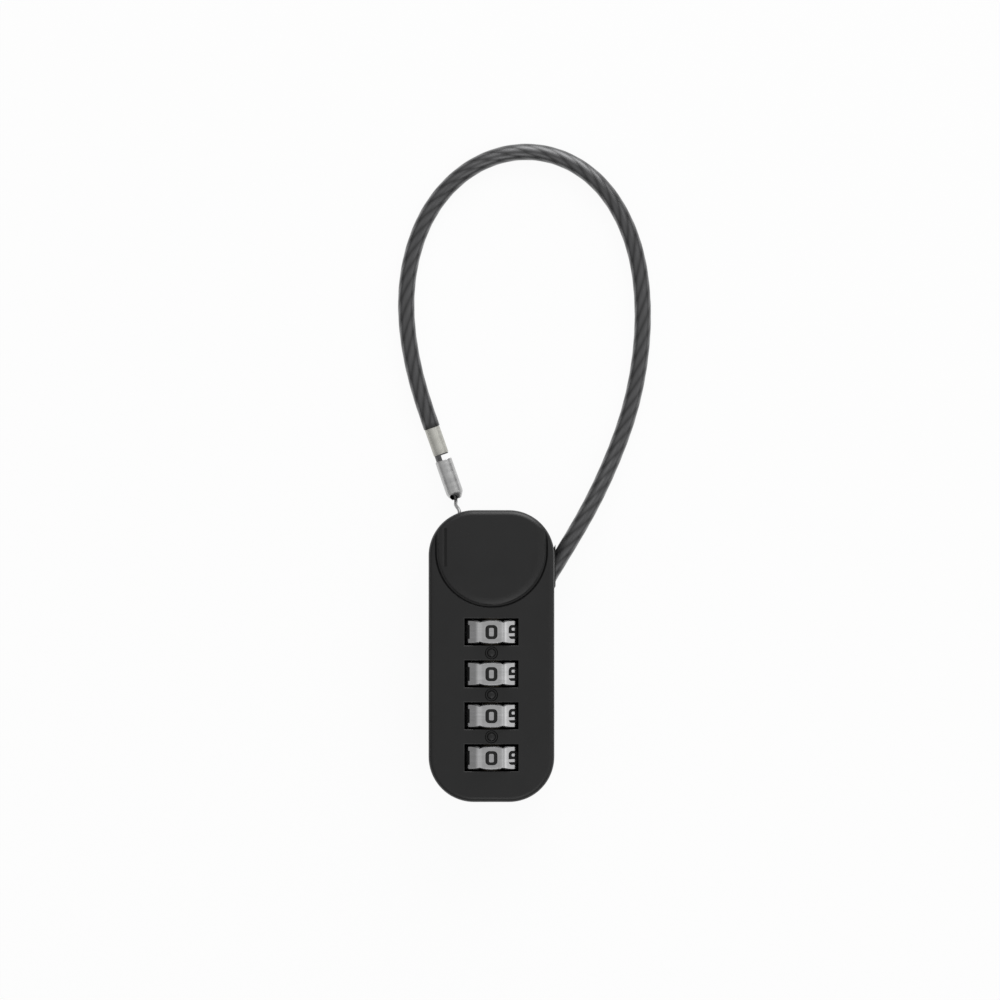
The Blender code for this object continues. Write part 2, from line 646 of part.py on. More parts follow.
def rear_cover(mat, shared):
    """The back half, with a saddle under each code sleeve and under the bush."""
    mesh = head_slab("rear_cover", PARTING_HEIGHT - SEAT_GAP / 2, 0)
    obj = place("rear_cover", mesh, PARTS, mat)
    top = AXIS_Z - SLEEVE_RADIUS / 2
    spans = [(y - SLEEVE_HALF, y - WELL_HALF - SLIDE_GAP) for y in DIAL_YS]
    spans.append((BUSH_BOTTOM_Y + SEAT_GAP, BUSH_TOP_Y - SEAT_GAP))
    saddles = []
    for start, end in spans:
        low = (-SLEEVE_RADIUS, start, PARTING_HEIGHT - OVERCUT)
        saddles.append((low, (SLEEVE_RADIUS, end, top)))
    boolean(obj, place("saddle_tool", box_mesh("saddle_tool", *saddles), CUTTERS), "UNION")

    sleeves, _upper, lug_recess = tunnel_spans()
    rods = [
        ("rear_well_tool", WELL_RADIUS, dial_spans(WELL_HALF, WELL_HALF), 2 * WELL_STEPS),
        ("rear_tunnel_tool", TUNNEL_RADIUS, [sleeves], 2 * WELL_STEPS - 8),
        ("rear_lug_tool", LUG_RECESS_RADIUS, lug_recess, 2 * WELL_STEPS - 8),
    ]
    for name, radius, reach, steps in rods:
        ends = [((0, start, AXIS_Z), (0, end, AXIS_Z)) for start, end in reach]
        boolean(obj, place(name, rod_mesh(name, radius, *ends, steps=steps), CUTTERS))
    ends = [((x, y, -OVERCUT), (x, y, PARTING_HEIGHT + OVERCUT)) for x, y in RIVET_PLACES]
    bores = rod_mesh("rear_rivet_tool", RIVET_BORE, *ends, steps=16)
    boolean(obj, place("rear_rivet_tool", bores, CUTTERS))
    depth = RIVET_RECESS + RIVET_HEAD + SEAT_GAP
    ends = [((x, y, -OVERCUT), (x, y, depth)) for x, y in RIVET_PLACES]
    sinks = rod_mesh("rivet_sink_tool", RIVET_HEAD_RADIUS + SEAT_GAP, *ends, steps=16)
    boolean(obj, place("rivet_sink_tool", sinks, CUTTERS))
    for tool in shared:
        boolean(obj, tool)
    return obj


# ---------------------------------------------------------------- dials and code sleeves
def dial_mesh():
    """A dial about its own Z: ten flat pads round it, and rims drawn in between the pads."""
    half = DIAL_WIDTH / 2
    bore = SLEEVE_RADIUS + SEAT_GAP
    step = 2 * math.pi / DIAL_PADS
    apothem = DIAL_RADIUS * math.cos(step / 2)
    profile = [(bore, -half), (bore, half), (DIAL_RADIUS, half), (DIAL_RADIUS, -half)]
    bm = bmesh.new()
    corners = [bm.verts.new((r, 0, h)) for r, h in profile]
    edges = [bm.edges.new((a, b)) for a, b in zip(corners, corners[1:] + corners[:1])]
    bmesh.ops.spin(
        bm,
        geom=corners + edges,
        cent=(0, 0, 0),
        axis=(0, 0, 1),
        angle=2 * math.pi,
        steps=DIAL_PADS * DIAL_STEPS,
        use_merge=True,
    )
    for v in bm.verts:
        radius = math.hypot(v.co.x, v.co.y)
        if radius < DIAL_RADIUS - SEAT_GAP:
            continue
        angle = math.atan2(v.co.y, v.co.x)
        off_pad = (angle + math.pi / 2 + step / 2) % step - step / 2
        flat = apothem / math.cos(off_pad)
        draw_in = RIM_SCALLOP * abs(2 * off_pad / step) ** 3
        v.co.x *= flat / radius
        v.co.y *= flat / radius
        v.co.z -= math.copysign(draw_in, v.co.z)
    return finish_mesh(bm, "dial")


def key_tool():
    """Ten keyways in a dial's upper side, one for each number."""
    half = DIAL_WIDTH / 2
    width = LUG_WIDTH / 2 + SEAT_GAP
    low = half - LUG_INSET - LUG_LENGTH - SEAT_GAP
    bm = bmesh.new()
    for n in range(DIAL_PADS):
        verts = add_box(bm, (SLEEVE_RADIUS, -width, low), (LUG_RECESS_RADIUS, width, half + OVERCUT))
        turn = Matrix.Rotation(2 * math.pi * n / DIAL_PADS, 3, "Z")
        bmesh.ops.rotate(bm, verts=verts, cent=(0, 0, 0), matrix=turn)
    return finish_mesh(bm, "key_tool")


def dials(mat):
    mesh = dial_mesh()
    keys = key_tool()
    mesh.materials.append(mat)
    for n, y in enumerate(DIAL_YS, 1):
        obj = place(f"dial_{n}", mesh, PARTS, matrix=on_axis(y))
        boolean(obj, place(f"key_tool_{n}", keys, CUTTERS, matrix=on_axis(y)))


def code_sleeves(mat):
    """The sleeve inside each dial, with its inner flange, the gate in it and two driving lugs."""
    flange = FLANGE_LENGTH / 2
    profile = [
        (SLEEVE_RADIUS, SLEEVE_HALF),
        (SLEEVE_RADIUS, -SLEEVE_HALF),
        (SLEEVE_BORE, -SLEEVE_HALF),
        (SLEEVE_BORE, -flange),
        (FLANGE_BORE, -flange),
        (FLANGE_BORE, flange),
        (SLEEVE_BORE, flange),
        (SLEEVE_BORE, SLEEVE_HALF),
    ]
    middle = SLEEVE_RADIUS - SLEEVE_WALL / 2
    lug = LUG_WIDTH / 2
    lugs = [
        ((middle, -lug, LUG_BOTTOM), (LUG_RADIUS, lug, LUG_TOP)),
        ((-LUG_RADIUS, -lug, LUG_BOTTOM), (-middle, lug, LUG_TOP)),
    ]
    gate_low = (-GATE_WIDTH / 2, FLANGE_BORE - 2 * FIN_GAP, -flange - OVERCUT / 2)
    gate_high = (GATE_WIDTH / 2, SLEEVE_BORE, flange + OVERCUT / 2)
    for n, y in enumerate(DIAL_YS, 1):
        obj = turned(f"code_sleeve_{n}", profile, PARTS, mat, on_axis(y))
        lug_mesh = box_mesh("lug_tool", *lugs)
        boolean(obj, place(f"lug_tool_{n}", lug_mesh, CUTTERS, matrix=on_axis(y)), "UNION")
        gate_mesh = box_mesh("gate_tool", (gate_low, gate_high))
        boolean(obj, place(f"gate_tool_{n}", gate_mesh, CUTTERS, matrix=on_axis(y)))


# ---------------------------------------------------------------- spindle, bush, springs and button
def spindle(mat):
    """The shaft through the sleeves: a fin above each gate, and a cone that moves the latch bolt."""
    profile = [
        (0, CONE_Y + CONE_LENGTH),
        (CONE_TIP_RADIUS, CONE_Y + CONE_LENGTH),
        (COLLAR_RADIUS, CONE_Y),
        (COLLAR_RADIUS, COLLAR_Y),
        (SHAFT_RADIUS, COLLAR_Y),
        (SHAFT_RADIUS, SPINDLE_END_Y),
        (0, SPINDLE_END_Y),
    ]
    obj = turned("spindle", profile, PARTS, mat, on_axis(0))
    fins = []
    for y in DIAL_YS:
        low = y + FLANGE_LENGTH / 2 + SEAT_GAP
        fins.append(((-FIN_WIDTH / 2, SHAFT_RADIUS / 2, low), (FIN_WIDTH / 2, FIN_REACH, low + FIN_LENGTH)))
    tool = place("fin_tool", box_mesh("fin_tool", *fins), CUTTERS, matrix=on_axis(0))
    boolean(obj, tool, "UNION")


def spindle_bush(mat):
    bore = SHAFT_RADIUS + SLIDE_GAP
    profile = [
        (SLEEVE_RADIUS, BUSH_TOP_Y),
        (SLEEVE_RADIUS, BUSH_BOTTOM_Y),
        (bore, BUSH_BOTTOM_Y),
        (bore, BUSH_TOP_Y),
    ]
    turned("spindle_bush", profile, PARTS, mat, on_axis(0))


def springs(mat):
    low = BUSH_TOP_Y + SEAT_GAP
    high = COLLAR_Y - SEAT_GAP
    mean = (SHAFT_RADIUS + COLLAR_RADIUS) / 2
    coil_spring("spindle_spring", mean, low, high, SPINDLE_SPRING_TURNS, mat)
    low = SLEEVES_TOP_Y + SEAT_GAP
    high = BUSH_BOTTOM_Y - SEAT_GAP
    mean = SLEEVE_RADIUS - SLEEVE_WALL / 2
    coil_spring("sleeve_spring", mean, low, high, SLEEVE_SPRING_TURNS, mat)


def reset_button(mat):
    """A hollow plunger at the bottom end: it lifts the sleeves, and guides the spindle's tail."""
    bore = SHAFT_RADIUS + SEAT_GAP
    shoulder = CAVITY_BOTTOM_Y + SEAT_GAP
    floor = BUTTON_END_Y + BUTTON_FLOOR
    profile = [
        (0, floor),
        (bore, floor),
        (bore, BUTTON_TOP_Y),
        (SLEEVE_RADIUS, BUTTON_TOP_Y),
        (SLEEVE_RADIUS, shoulder),
        (STEM_RADIUS, shoulder),
        (STEM_RADIUS, BUTTON_END_Y),
        (0, BUTTON_END_Y),
    ]
    turned("reset_button", profile, PARTS, mat, on_axis(0))


# ---------------------------------------------------------------- latch bolt and detent spring
def latch_box():
    """The corners of the box that holds the latch bolt."""
    low = (LATCH_NOSE_X, LATCH_Y - LATCH_THICKNESS / 2, PARTING_HEIGHT - LATCH_NOSE_HEIGHT / 2)
    high = (LATCH_TAIL_X, LATCH_Y + LATCH_THICKNESS / 2, AXIS_Z + LATCH_TAIL_HEIGHT / 2)
    return low, high


def latch_bolt(mat):
    """A flat bolt: its nose enters the pin's notch, and its tail is hollowed to the spindle's cone."""
    low, high = latch_box()
    jog = -COLLAR_RADIUS - LATCH_JOG
    nose = (low, (jog + LATCH_JOG, high[1], AXIS_Z))
    tail = ((jog, low[1], AXIS_Z - LATCH_TAIL_HEIGHT / 2), high)
    obj = place("latch_bolt", box_mesh("latch_bolt", nose), PARTS, mat)
    boolean(obj, place("latch_tail_tool", box_mesh("latch_tail_tool", tail), CUTTERS), "UNION")
    reach = 2 * COLLAR_RADIUS
    seat = turned(
        "latch_seat_tool",
        [
            (0, CONE_Y + COLLAR_RADIUS + SEAT_GAP),
            (COLLAR_RADIUS + SEAT_GAP + reach, CONE_Y - reach),
            (0, CONE_Y - reach),
        ],
        CUTTERS,
        matrix=on_axis(0),
    )
    boolean(obj, seat)


def leaf_box():
    """The corners of the space that the detent spring fills."""
    back = -WELL_RADIUS - LEAF_THICKNESS - LEAF_BUMP
    low = Vector((back, DIAL_YS[-1] - LEAF_OVERHANG, PARTING_HEIGHT + 1.5 * SEAT_GAP))
    high = Vector((-WELL_RADIUS, DIAL_YS[0] + LEAF_OVERHANG, low.z + LEAF_HEIGHT))
    return low, high


def detent_spring(mat):
    """One leaf beside all the dials, with a rounded bump that rests against each."""
    low, high = leaf_box()
    count = round((high.y - low.y) / DIAL_PITCH * LEAF_POINTS_PER_DIAL)
    bm = bmesh.new()
    verts = []
    for n in range(count + 1):
        y = low.y + (high.y - low.y) * n / count
        off = min(abs(y - dial) for dial in DIAL_YS) / (DIAL_WIDTH / 2)
        bump = LEAF_BUMP * math.cos(math.pi / 2 * min(off, 1)) ** 2
        verts.append(bm.verts.new((low.x + bump, y, low.z)))
    edges = [bm.edges.new(pair) for pair in zip(verts, verts[1:])]
    raised = bmesh.ops.extrude_edge_only(bm, edges=edges)["geom"]
    up = [v for v in raised if isinstance(v, bmesh.types.BMVert)]
    bmesh.ops.translate(bm, vec=(0, 0, LEAF_HEIGHT), verts=up)
    for face in bm.faces:
        face.normal_update()
        if face.normal.x < 0:
            face.normal_flip()
    mesh = bpy.data.meshes.new("detent_spring")
    bm.to_mesh(mesh)
    bm.free()
    obj = place("detent_spring", mesh, PARTS, mat)
    wall = obj.modifiers.new("thickness", "SOLIDIFY")
    wall.thickness = LEAF_THICKNESS
    wall.offset = 1


# ---------------------------------------------------------------- cable, pin and tether
def on_cable_axis(distance):
    return EXIT + EXIT_WAY * distance


def steel_cable(mat):
    inside = [on_cable_axis(CABLE_START), on_cable_axis(CABLE_START / 2), EXIT.copy()]
    outside = [EXIT + Vector(p) * 0.001 for p in CABLE_ROUTE_MM]
    path = smooth_path(inside + outside, CABLE_STEP)
    tube("steel_cable", path, CABLE_RADIUS, mat, 3)
    free = [p for p in path if p.x >= EXIT.x or p.y > EXIT.y]
    length = sum((b - a).length for a, b in zip(free, free[1:]))
    print(f"steel_cable: {length * 1000:.1f} mm outside the head")


def cable_grommet(mat):
    """The sleeve round the cable where it leaves the side, cut flat just outside the wall."""
    reach = 4 * CABLE_RADIUS
    profile = [
        (GROMMET_RADIUS, reach),
        (GROMMET_RADIUS, -GROMMET_LENGTH),
        (GROMMET_BORE, -GROMMET_LENGTH),
        (GROMMET_BORE, reach),
    ]
    obj = turned("cable_grommet", profile, PARTS, mat, along(EXIT, EXIT_WAY))
    face = SIDE_X + GROMMET_LIP
    half = 10 * CABLE_RADIUS
    trim = ((face, EXIT.y - half, EXIT.z - half), (face + half, EXIT.y + half, EXIT.z + half))
    boolean(obj, place("grommet_trim_tool", box_mesh("grommet_trim_tool", trim), CUTTERS))


def cable_anchor(mat):
    """The stop crimped on the cable's fixed end, which can't pass the hole that the cable uses."""
    profile = [
        (0, ANCHOR_END + ANCHOR_FLOOR),
        (ANCHOR_BORE, ANCHOR_END + ANCHOR_FLOOR),
        (ANCHOR_BORE, ANCHOR_START),
        (ANCHOR_RADIUS, ANCHOR_START),
        (ANCHOR_RADIUS, ANCHOR_END),
        (0, ANCHOR_END),
    ]
    turned("cable_anchor", profile, PARTS, mat, along(EXIT, EXIT_WAY))


def crimp_sleeve(mat):
    edge = CRIMP_RADIUS - CRIMP_CHAMFER
    profile = [
        (0, CRIMP_LENGTH),
        (edge, CRIMP_LENGTH),
        (CRIMP_RADIUS, CRIMP_LENGTH - CRIMP_CHAMFER),
        (CRIMP_RADIUS, CRIMP_CHAMFER),
        (edge, 0),
        (0, 0),
    ]
    turned("crimp_sleeve", profile, PARTS, mat, along(CRIMP_TOP, PIN_WAY))


def pin_frame():
    """The pin's own axes: Z runs to its tip, and X points at the side that the notch is cut in."""
    side = Vector((math.cos(PIN_TILT), math.sin(PIN_TILT), 0))
    up = PIN_WAY.cross(side)
    turn = Matrix((side, up, PIN_WAY)).transposed().to_4x4()
    return Matrix.Translation(PIN_TOP) @ turn


def locking_pin(mat):
    step = PIN_SHOULDER + NOTCH_LENGTH
    profile = [
        (0, PIN_LENGTH - TIP_HOLLOW_DEPTH),
        (TIP_HOLLOW_RADIUS, PIN_LENGTH - TIP_HOLLOW_DEPTH),
        (TIP_HOLLOW_RADIUS, PIN_LENGTH),
        (PIN_RADIUS - TIP_CHAMFER, PIN_LENGTH),
        (PIN_RADIUS, PIN_LENGTH - TIP_CHAMFER),
        (PIN_RADIUS, step),
        (PIN_SHOULDER_RADIUS, step),
        (PIN_SHOULDER_RADIUS, 0),
        (0, 0),
    ]
    obj = turned("locking_pin", profile, PARTS, mat, pin_frame())
    low = (PIN_SHOULDER_RADIUS - NOTCH_CUT, -2 * PIN_RADIUS, PIN_SHOULDER)
    high = (2 * PIN_RADIUS, 2 * PIN_RADIUS, step)
    boolean(obj, place("notch_tool", box_mesh("notch_tool", (low, high)), CUTTERS, matrix=pin_frame()))


def tether_wire(mat):
    """The thin wire from the pin's hollow tip to its anchor at the bottom of the socket."""
    mouth = Vector((TETHER_X, TOP_Y - SOCKET_FLARE, PARTING_HEIGHT - TETHER_OFFSET))
    start = PIN_TIP - PIN_WAY * TIP_HOLLOW_DEPTH / 2
    middle = (PIN_TIP + mouth) / 2
    bottom = Vector((TETHER_X, SOCKET_END_Y, PARTING_HEIGHT))
    points = [start, PIN_TIP + PIN_WAY * TETHER_RADIUS, middle, mouth]
    points += [Vector((TETHER_X, LATCH_Y, PARTING_HEIGHT)), bottom]
    tube("tether_wire", smooth_path(points, 4 * TETHER_RADIUS), TETHER_RADIUS, mat, 2)


def tether_anchor(mat):
    top = SOCKET_END_Y - SEAT_GAP
    profile = [
        (0, top),
        (TETHER_ANCHOR_RADIUS, top),
        (TETHER_ANCHOR_RADIUS, top - TETHER_ANCHOR_LENGTH),
        (0, top - TETHER_ANCHOR_LENGTH),
    ]
    turned("tether_anchor", profile, PARTS, mat, along((TETHER_X, 0, PARTING_HEIGHT), (0, 1, 0)), steps=16)


def rivets(mat):
    head_top = RIVET_RECESS + RIVET_HEAD
    end = RIVET_RECESS + RIVET_LENGTH
    profile = [
        (0, end),
        (RIVET_RADIUS, end),
        (RIVET_RADIUS, head_top),
        (RIVET_HEAD_RADIUS, head_top),
        (RIVET_HEAD_RADIUS, RIVET_RECESS),
        (0, RIVET_RECESS),
    ]
    for n, (x, y) in enumerate(RIVET_PLACES, 1):
        turned(f"cover_rivet_{n}", profile, PARTS, mat, Matrix.Translation((x, y, 0)), steps=16)


# ---------------------------------------------------------------- the assembly
clear_scene()
PARTS = new_collection("laptop_cable_lock")
CUTTERS = new_collection("cutters")

BLACK = material("satin_black_plastic", (0.028, 0.028, 0.029), 0.42)
DIAL_METAL = material("satin_dial_metal", (0.42, 0.42, 0.43), 0.34, 0.9)
BRASS = material("brass", (0.58, 0.43, 0.20), 0.35, 1.0)
STEEL = material("steel", (0.50, 0.50, 0.50), 0.32, 1.0)
SPRING_STEEL = material("spring_steel", (0.36, 0.36, 0.38), 0.30, 1.0)
ZINC = material("zinc", (0.40, 0.40, 0.41), 0.42, 1.0)
WARM_METAL = material("crimped_aluminium", (0.43, 0.43, 0.39), 0.45, 0.8)
RUBBER = material("black_rubber", (0.020, 0.020, 0.020), 0.75)
JACKET = material("smoked_jacket", (0.045, 0.045, 0.048), 0.35)

SHARED = shared_tools()
front_housing(BLACK, SHARED)
rear_cover(BLACK, SHARED)
dials(DIAL_METAL)
code_sleeves(BRASS)
spindle(STEEL)
spindle_bush(BRASS)
springs(SPRING_STEEL)
reset_button(ZINC)
latch_bolt(STEEL)
detent_spring(SPRING_STEEL)
steel_cable(JACKET)
cable_grommet(RUBBER)
cable_anchor(ZINC)
crimp_sleeve(WARM_METAL)
locking_pin(STEEL)
tether_wire(STEEL)
tether_anchor(ZINC)
rivets(ZINC)
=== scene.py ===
# %% [markdown]
# # Laptop cable lock
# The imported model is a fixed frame: its 29 solids and the bodies that they move with. The
# pieces below are built on it in the same place and the same metres.

# %% Imports and the frame
import math

import bmesh
import bpy
from mathutils import Matrix, Vector


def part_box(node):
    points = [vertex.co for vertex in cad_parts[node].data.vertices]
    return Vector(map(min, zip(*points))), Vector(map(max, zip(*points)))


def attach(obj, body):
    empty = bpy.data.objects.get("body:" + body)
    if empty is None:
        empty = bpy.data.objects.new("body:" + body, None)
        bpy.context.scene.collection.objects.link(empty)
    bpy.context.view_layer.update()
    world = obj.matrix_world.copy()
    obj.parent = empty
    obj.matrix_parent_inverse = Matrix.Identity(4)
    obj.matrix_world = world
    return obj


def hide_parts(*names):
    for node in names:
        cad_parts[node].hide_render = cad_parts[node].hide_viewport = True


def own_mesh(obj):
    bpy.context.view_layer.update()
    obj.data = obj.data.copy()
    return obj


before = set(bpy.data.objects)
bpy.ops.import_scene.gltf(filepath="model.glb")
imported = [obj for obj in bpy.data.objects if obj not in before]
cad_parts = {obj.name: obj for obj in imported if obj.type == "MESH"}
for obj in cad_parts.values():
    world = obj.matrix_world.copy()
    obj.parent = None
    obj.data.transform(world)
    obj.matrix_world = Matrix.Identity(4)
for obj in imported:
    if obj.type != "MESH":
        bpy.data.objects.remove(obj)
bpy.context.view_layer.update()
scene = bpy.context.scene

# %% [markdown]
# ## Camera
# The photograph looks straight down on the lock from far off, with the head's long side
# upright in the picture. A long lens at 1.2 m gives the same nearly parallel view.

# %% Camera
PICTURE_WIDTH = 0.240  # what the photograph's width covers at the face of the head
CAMERA_HEIGHT = 1.2
PICTURE_MIDDLE = (0.00204, 0.03724)  # the point under the middle of the picture
camera_data = bpy.data.cameras.new("camera")
camera_data.sensor_width = 36
camera_data.lens = 36 * CAMERA_HEIGHT / PICTURE_WIDTH
camera_data.clip_start, camera_data.clip_end = 0.01, 10
camera = bpy.data.objects.new("camera", camera_data)
camera.location = (*PICTURE_MIDDLE, 0.010 + CAMERA_HEIGHT)
scene.collection.objects.link(camera)
scene.camera = camera
scene.view_settings.view_transform = "Standard"
print("camera", round(camera_data.lens), "mm lens")

# %% [markdown]
# ## Making and placing a mesh
# Every piece starts as a bmesh, which becomes a mesh once its normals point outwards. The
# object then stays at the origin, because the place is in the mesh itself.

# %% Mesh helpers
def mesh_from(bm, name):
    """Closes the doubles, turns all faces outwards and shrinks millimetres to metres."""
    bmesh.ops.remove_doubles(bm, verts=bm.verts, dist=1e-4)
    bmesh.ops.recalc_face_normals(bm, faces=bm.faces)
    bmesh.ops.scale(bm, vec=(0.001, 0.001, 0.001), verts=bm.verts)
    mesh = bpy.data.meshes.new(name)
    bm.to_mesh(mesh)
    bm.free()
    return mesh


def evaluated(obj):
    """The mesh of an object with its modifiers applied."""
    shown = obj.evaluated_get(bpy.context.evaluated_depsgraph_get())
    return bpy.data.meshes.new_from_object(shown)


def new_piece(name, mesh, body, slot, finish, *nodes, sharp=35):
    """A finished piece: it rides on a body, and stands for the CAD nodes that it names."""
    mesh.shade_smooth()
    mesh.set_sharp_from_angle(angle=math.radians(sharp))
    if finish and not mesh.materials:
        mesh.materials.append(finish)
    obj = bpy.data.objects.new(name, mesh)
    scene.collection.objects.link(obj)
    shading = obj.modifiers.new("flat faces stay flat", "WEIGHTED_NORMAL")
    shading.keep_sharp = True
    obj.data = evaluated(obj)
    obj.modifiers.clear()
    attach(obj, body)
    if nodes:
        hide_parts(*nodes)
    return obj


print("mesh helpers")

# %% [markdown]
# ## Shader groups
# Four effects are used by several finishes: the fine grain of a moulded face, the polish that
# handling leaves on edges, the fine lines of turned metal, and a little dust. Each is a node
# group that puts out a mask or a height, and each material sets its own scale.

# %% A small builder for node trees
def node(tree, kind, *links, **settings):
    """Adds a node, sets its properties and links or sets its inputs in order."""
    made = tree.nodes.new(kind)
    for key, value in settings.items():
        setattr(made, key, value)
    for socket, value in zip(made.inputs, links):
        if value is None:
            continue
        if isinstance(value, bpy.types.NodeSocket):
            tree.links.new(value, socket)
        else:
            socket.default_value = value
    return made


def calc(tree, operation, *values):
    """A Math node's result."""
    return node(tree, "ShaderNodeMath", *values, operation=operation).outputs[0]


def new_group(name, inputs, outputs):
    group = bpy.data.node_groups.new(name, "ShaderNodeTree")
    for label, kind, value in inputs:
        socket = group.interface.new_socket(label, in_out="INPUT", socket_type=kind)
        if value is not None:
            socket.default_value = value
    for label, kind in outputs:
        group.interface.new_socket(label, in_out="OUTPUT", socket_type=kind)
    return group, group.nodes.new("NodeGroupInput").outputs, group.nodes.new("NodeGroupOutput").inputs


def noise(tree, vector, scale, detail=3.0, roughness=0.55):
    """A Noise texture's value."""
    made = node(tree, "ShaderNodeTexNoise", vector, None, scale, detail, roughness)
    return made.outputs["Fac"]


def remap(tree, value, low, high, to_low=0.0, to_high=1.0):
    """A value moved from one range to another, and kept inside it."""
    return node(tree, "ShaderNodeMapRange", value, low, high, to_low, to_high).outputs[0]


# %% Moulded grain: a satin spark-eroded skin
MOULDED_GRAIN, given, result = new_group(
    "moulded_grain",
    [("Vector", "NodeSocketVector", None), ("Scale", "NodeSocketFloat", 5000.0)],
    [("Height", "NodeSocketFloat"), ("Patches", "NodeSocketFloat")],
)
fine = noise(MOULDED_GRAIN, given["Vector"], given["Scale"], 2.0, 0.6)
cells = node(MOULDED_GRAIN, "ShaderNodeTexVoronoi", given["Vector"], None, given["Scale"])
MOULDED_GRAIN.links.new(
    calc(MOULDED_GRAIN, "ADD", fine, calc(MOULDED_GRAIN, "MULTIPLY", cells.outputs["Distance"], 0.6)),
    result["Height"],
)
MOULDED_GRAIN.links.new(noise(MOULDED_GRAIN, given["Vector"], 130.0, 4.0, 0.6), result["Patches"])

# %% Edge wear: where the surface turns sharply outwards
EDGE_WEAR, given, result = new_group(
    "edge_wear",
    [
        ("Vector", "NodeSocketVector", None),
        ("Radius", "NodeSocketFloat", 0.0003),
        ("Amount", "NodeSocketFloat", 1.0),
    ],
    [("Mask", "NodeSocketFloat")],
)
rounded = EDGE_WEAR.nodes.new("ShaderNodeBevel")
rounded.samples = 4
EDGE_WEAR.links.new(given["Radius"], rounded.inputs["Radius"])
true_normal = EDGE_WEAR.nodes.new("ShaderNodeNewGeometry").outputs["Normal"]
match = node(EDGE_WEAR, "ShaderNodeVectorMath", rounded.outputs[0], true_normal, operation="DOT_PRODUCT")
turned_away = remap(EDGE_WEAR, match.outputs["Value"], 0.995, 0.90)
broken = remap(EDGE_WEAR, noise(EDGE_WEAR, given["Vector"], 900.0, 4.0, 0.6), 0.38, 0.62)
EDGE_WEAR.links.new(
    calc(EDGE_WEAR, "MULTIPLY", calc(EDGE_WEAR, "MULTIPLY", turned_away, broken), given["Amount"]),
    result["Mask"],
)

# %% Turned lines: rings round the Y axis through a centre
TURNED_LINES, given, result = new_group(
    "turned_lines",
    [
        ("Vector", "NodeSocketVector", None),
        ("Lines per metre", "NodeSocketFloat", 9000.0),
    ],
    [("Height", "NodeSocketFloat"), ("Streaks", "NodeSocketFloat")],
)
parts = node(TURNED_LINES, "ShaderNodeSeparateXYZ", given["Vector"])
square = [calc(TURNED_LINES, "MULTIPLY", parts.outputs[n], parts.outputs[n]) for n in (0, 2)]
from_axis = calc(TURNED_LINES, "SQRT", calc(TURNED_LINES, "ADD", *square))
angle = calc(TURNED_LINES, "ARCTAN2", parts.outputs[2], parts.outputs[0])
across = node(
    TURNED_LINES,
    "ShaderNodeCombineXYZ",
    calc(TURNED_LINES, "MULTIPLY", from_axis, given["Lines per metre"]),
    calc(TURNED_LINES, "MULTIPLY", parts.outputs[1], given["Lines per metre"]),
    calc(TURNED_LINES, "MULTIPLY", angle, 1.5),
)
TURNED_LINES.links.new(noise(TURNED_LINES, across.outputs[0], 1.0, 2.0, 0.5), result["Height"])
TURNED_LINES.links.new(noise(TURNED_LINES, across.outputs[0], 0.12, 3.0, 0.6), result["Streaks"])

# %% Dust and smudges
DUST, given, result = new_group(
    "dust",
    [("Vector", "NodeSocketVector", None), ("Amount", "NodeSocketFloat", 1.0)],
    [("Specks", "NodeSocketFloat"), ("Smudges", "NodeSocketFloat")],
)
dots = node(DUST, "ShaderNodeTexVoronoi", given["Vector"], None, 900.0)
speck = remap(DUST, dots.outputs["Distance"], 0.09, 0.04)
where = remap(DUST, noise(DUST, given["Vector"], 60.0, 3.0), 0.52, 0.66)
DUST.links.new(
    calc(DUST, "MULTIPLY", calc(DUST, "MULTIPLY", speck, where), given["Amount"]), result["Specks"]
)
DUST.links.new(remap(DUST, noise(DUST, given["Vector"], 45.0, 5.0, 0.65), 0.35, 0.70), result["Smudges"])
print([group.name for group in bpy.data.node_groups])

# %% [markdown]
# ## Finishes
# The head is black plastic with a fine satin grain. The dials are a satin turned metal, the pin
# is steel with its neck and notch painted darker and its hollow tip painted black as shade, and the
# crimp is a warmer aluminium. The small parts are aged brass, zinc and spring steel. Each metal
# could be one flat colour, but a real one shows its lathe lines, so all of them come from one
# function. A metal is only as grey as what it reflects, so most stay light.

# %% A material with the common nodes
def new_finish(name, colour, roughness, metallic=0.0):
    finish = bpy.data.materials.new(name)
    finish.use_nodes = True
    finish.diffuse_color = (*colour, 1)
    tree = finish.node_tree
    shader = tree.nodes["Principled BSDF"]
    shader.inputs["Base Color"].default_value = (*colour, 1)
    shader.inputs["Roughness"].default_value = roughness
    shader.inputs["Metallic"].default_value = metallic
    spot = tree.nodes.new("ShaderNodeTexCoord").outputs["Object"]
    return finish, tree, shader, spot


def use(tree, group, vector, *values):
    """Puts a shader group in a material, with the material's own values."""
    made = tree.nodes.new("ShaderNodeGroup")
    made.node_tree = group
    tree.links.new(vector, made.inputs["Vector"])
    for socket, value in zip(list(made.inputs)[1:], values):
        socket.default_value = value
    return made.outputs


def blend(tree, factor, one, other):
    """A colour between two, by a mask."""
    made = tree.nodes.new("ShaderNodeMix")
    made.data_type = "RGBA"
    tree.links.new(factor, made.inputs["Factor"])
    for label, value in (("A", one), ("B", other)):
        socket = next(s for s in made.inputs if s.name == label and s.type == "RGBA")
        if isinstance(value, bpy.types.NodeSocket):
            tree.links.new(value, socket)
        else:
            socket.default_value = (*value, 1)
    return next(s for s in made.outputs if s.type == "RGBA")


def relief(tree, shader, height, depth, after=None):
    """Feeds a height in metres, 0 to 1 times depth, to the shader's normal."""
    bump = tree.nodes.new("ShaderNodeBump")
    bump.inputs["Distance"].default_value = depth
    tree.links.new(height, bump.inputs["Height"])
    if after:
        tree.links.new(after, bump.inputs["Normal"])
    tree.links.new(bump.outputs[0], shader.inputs["Normal"])
    return bump.outputs[0]


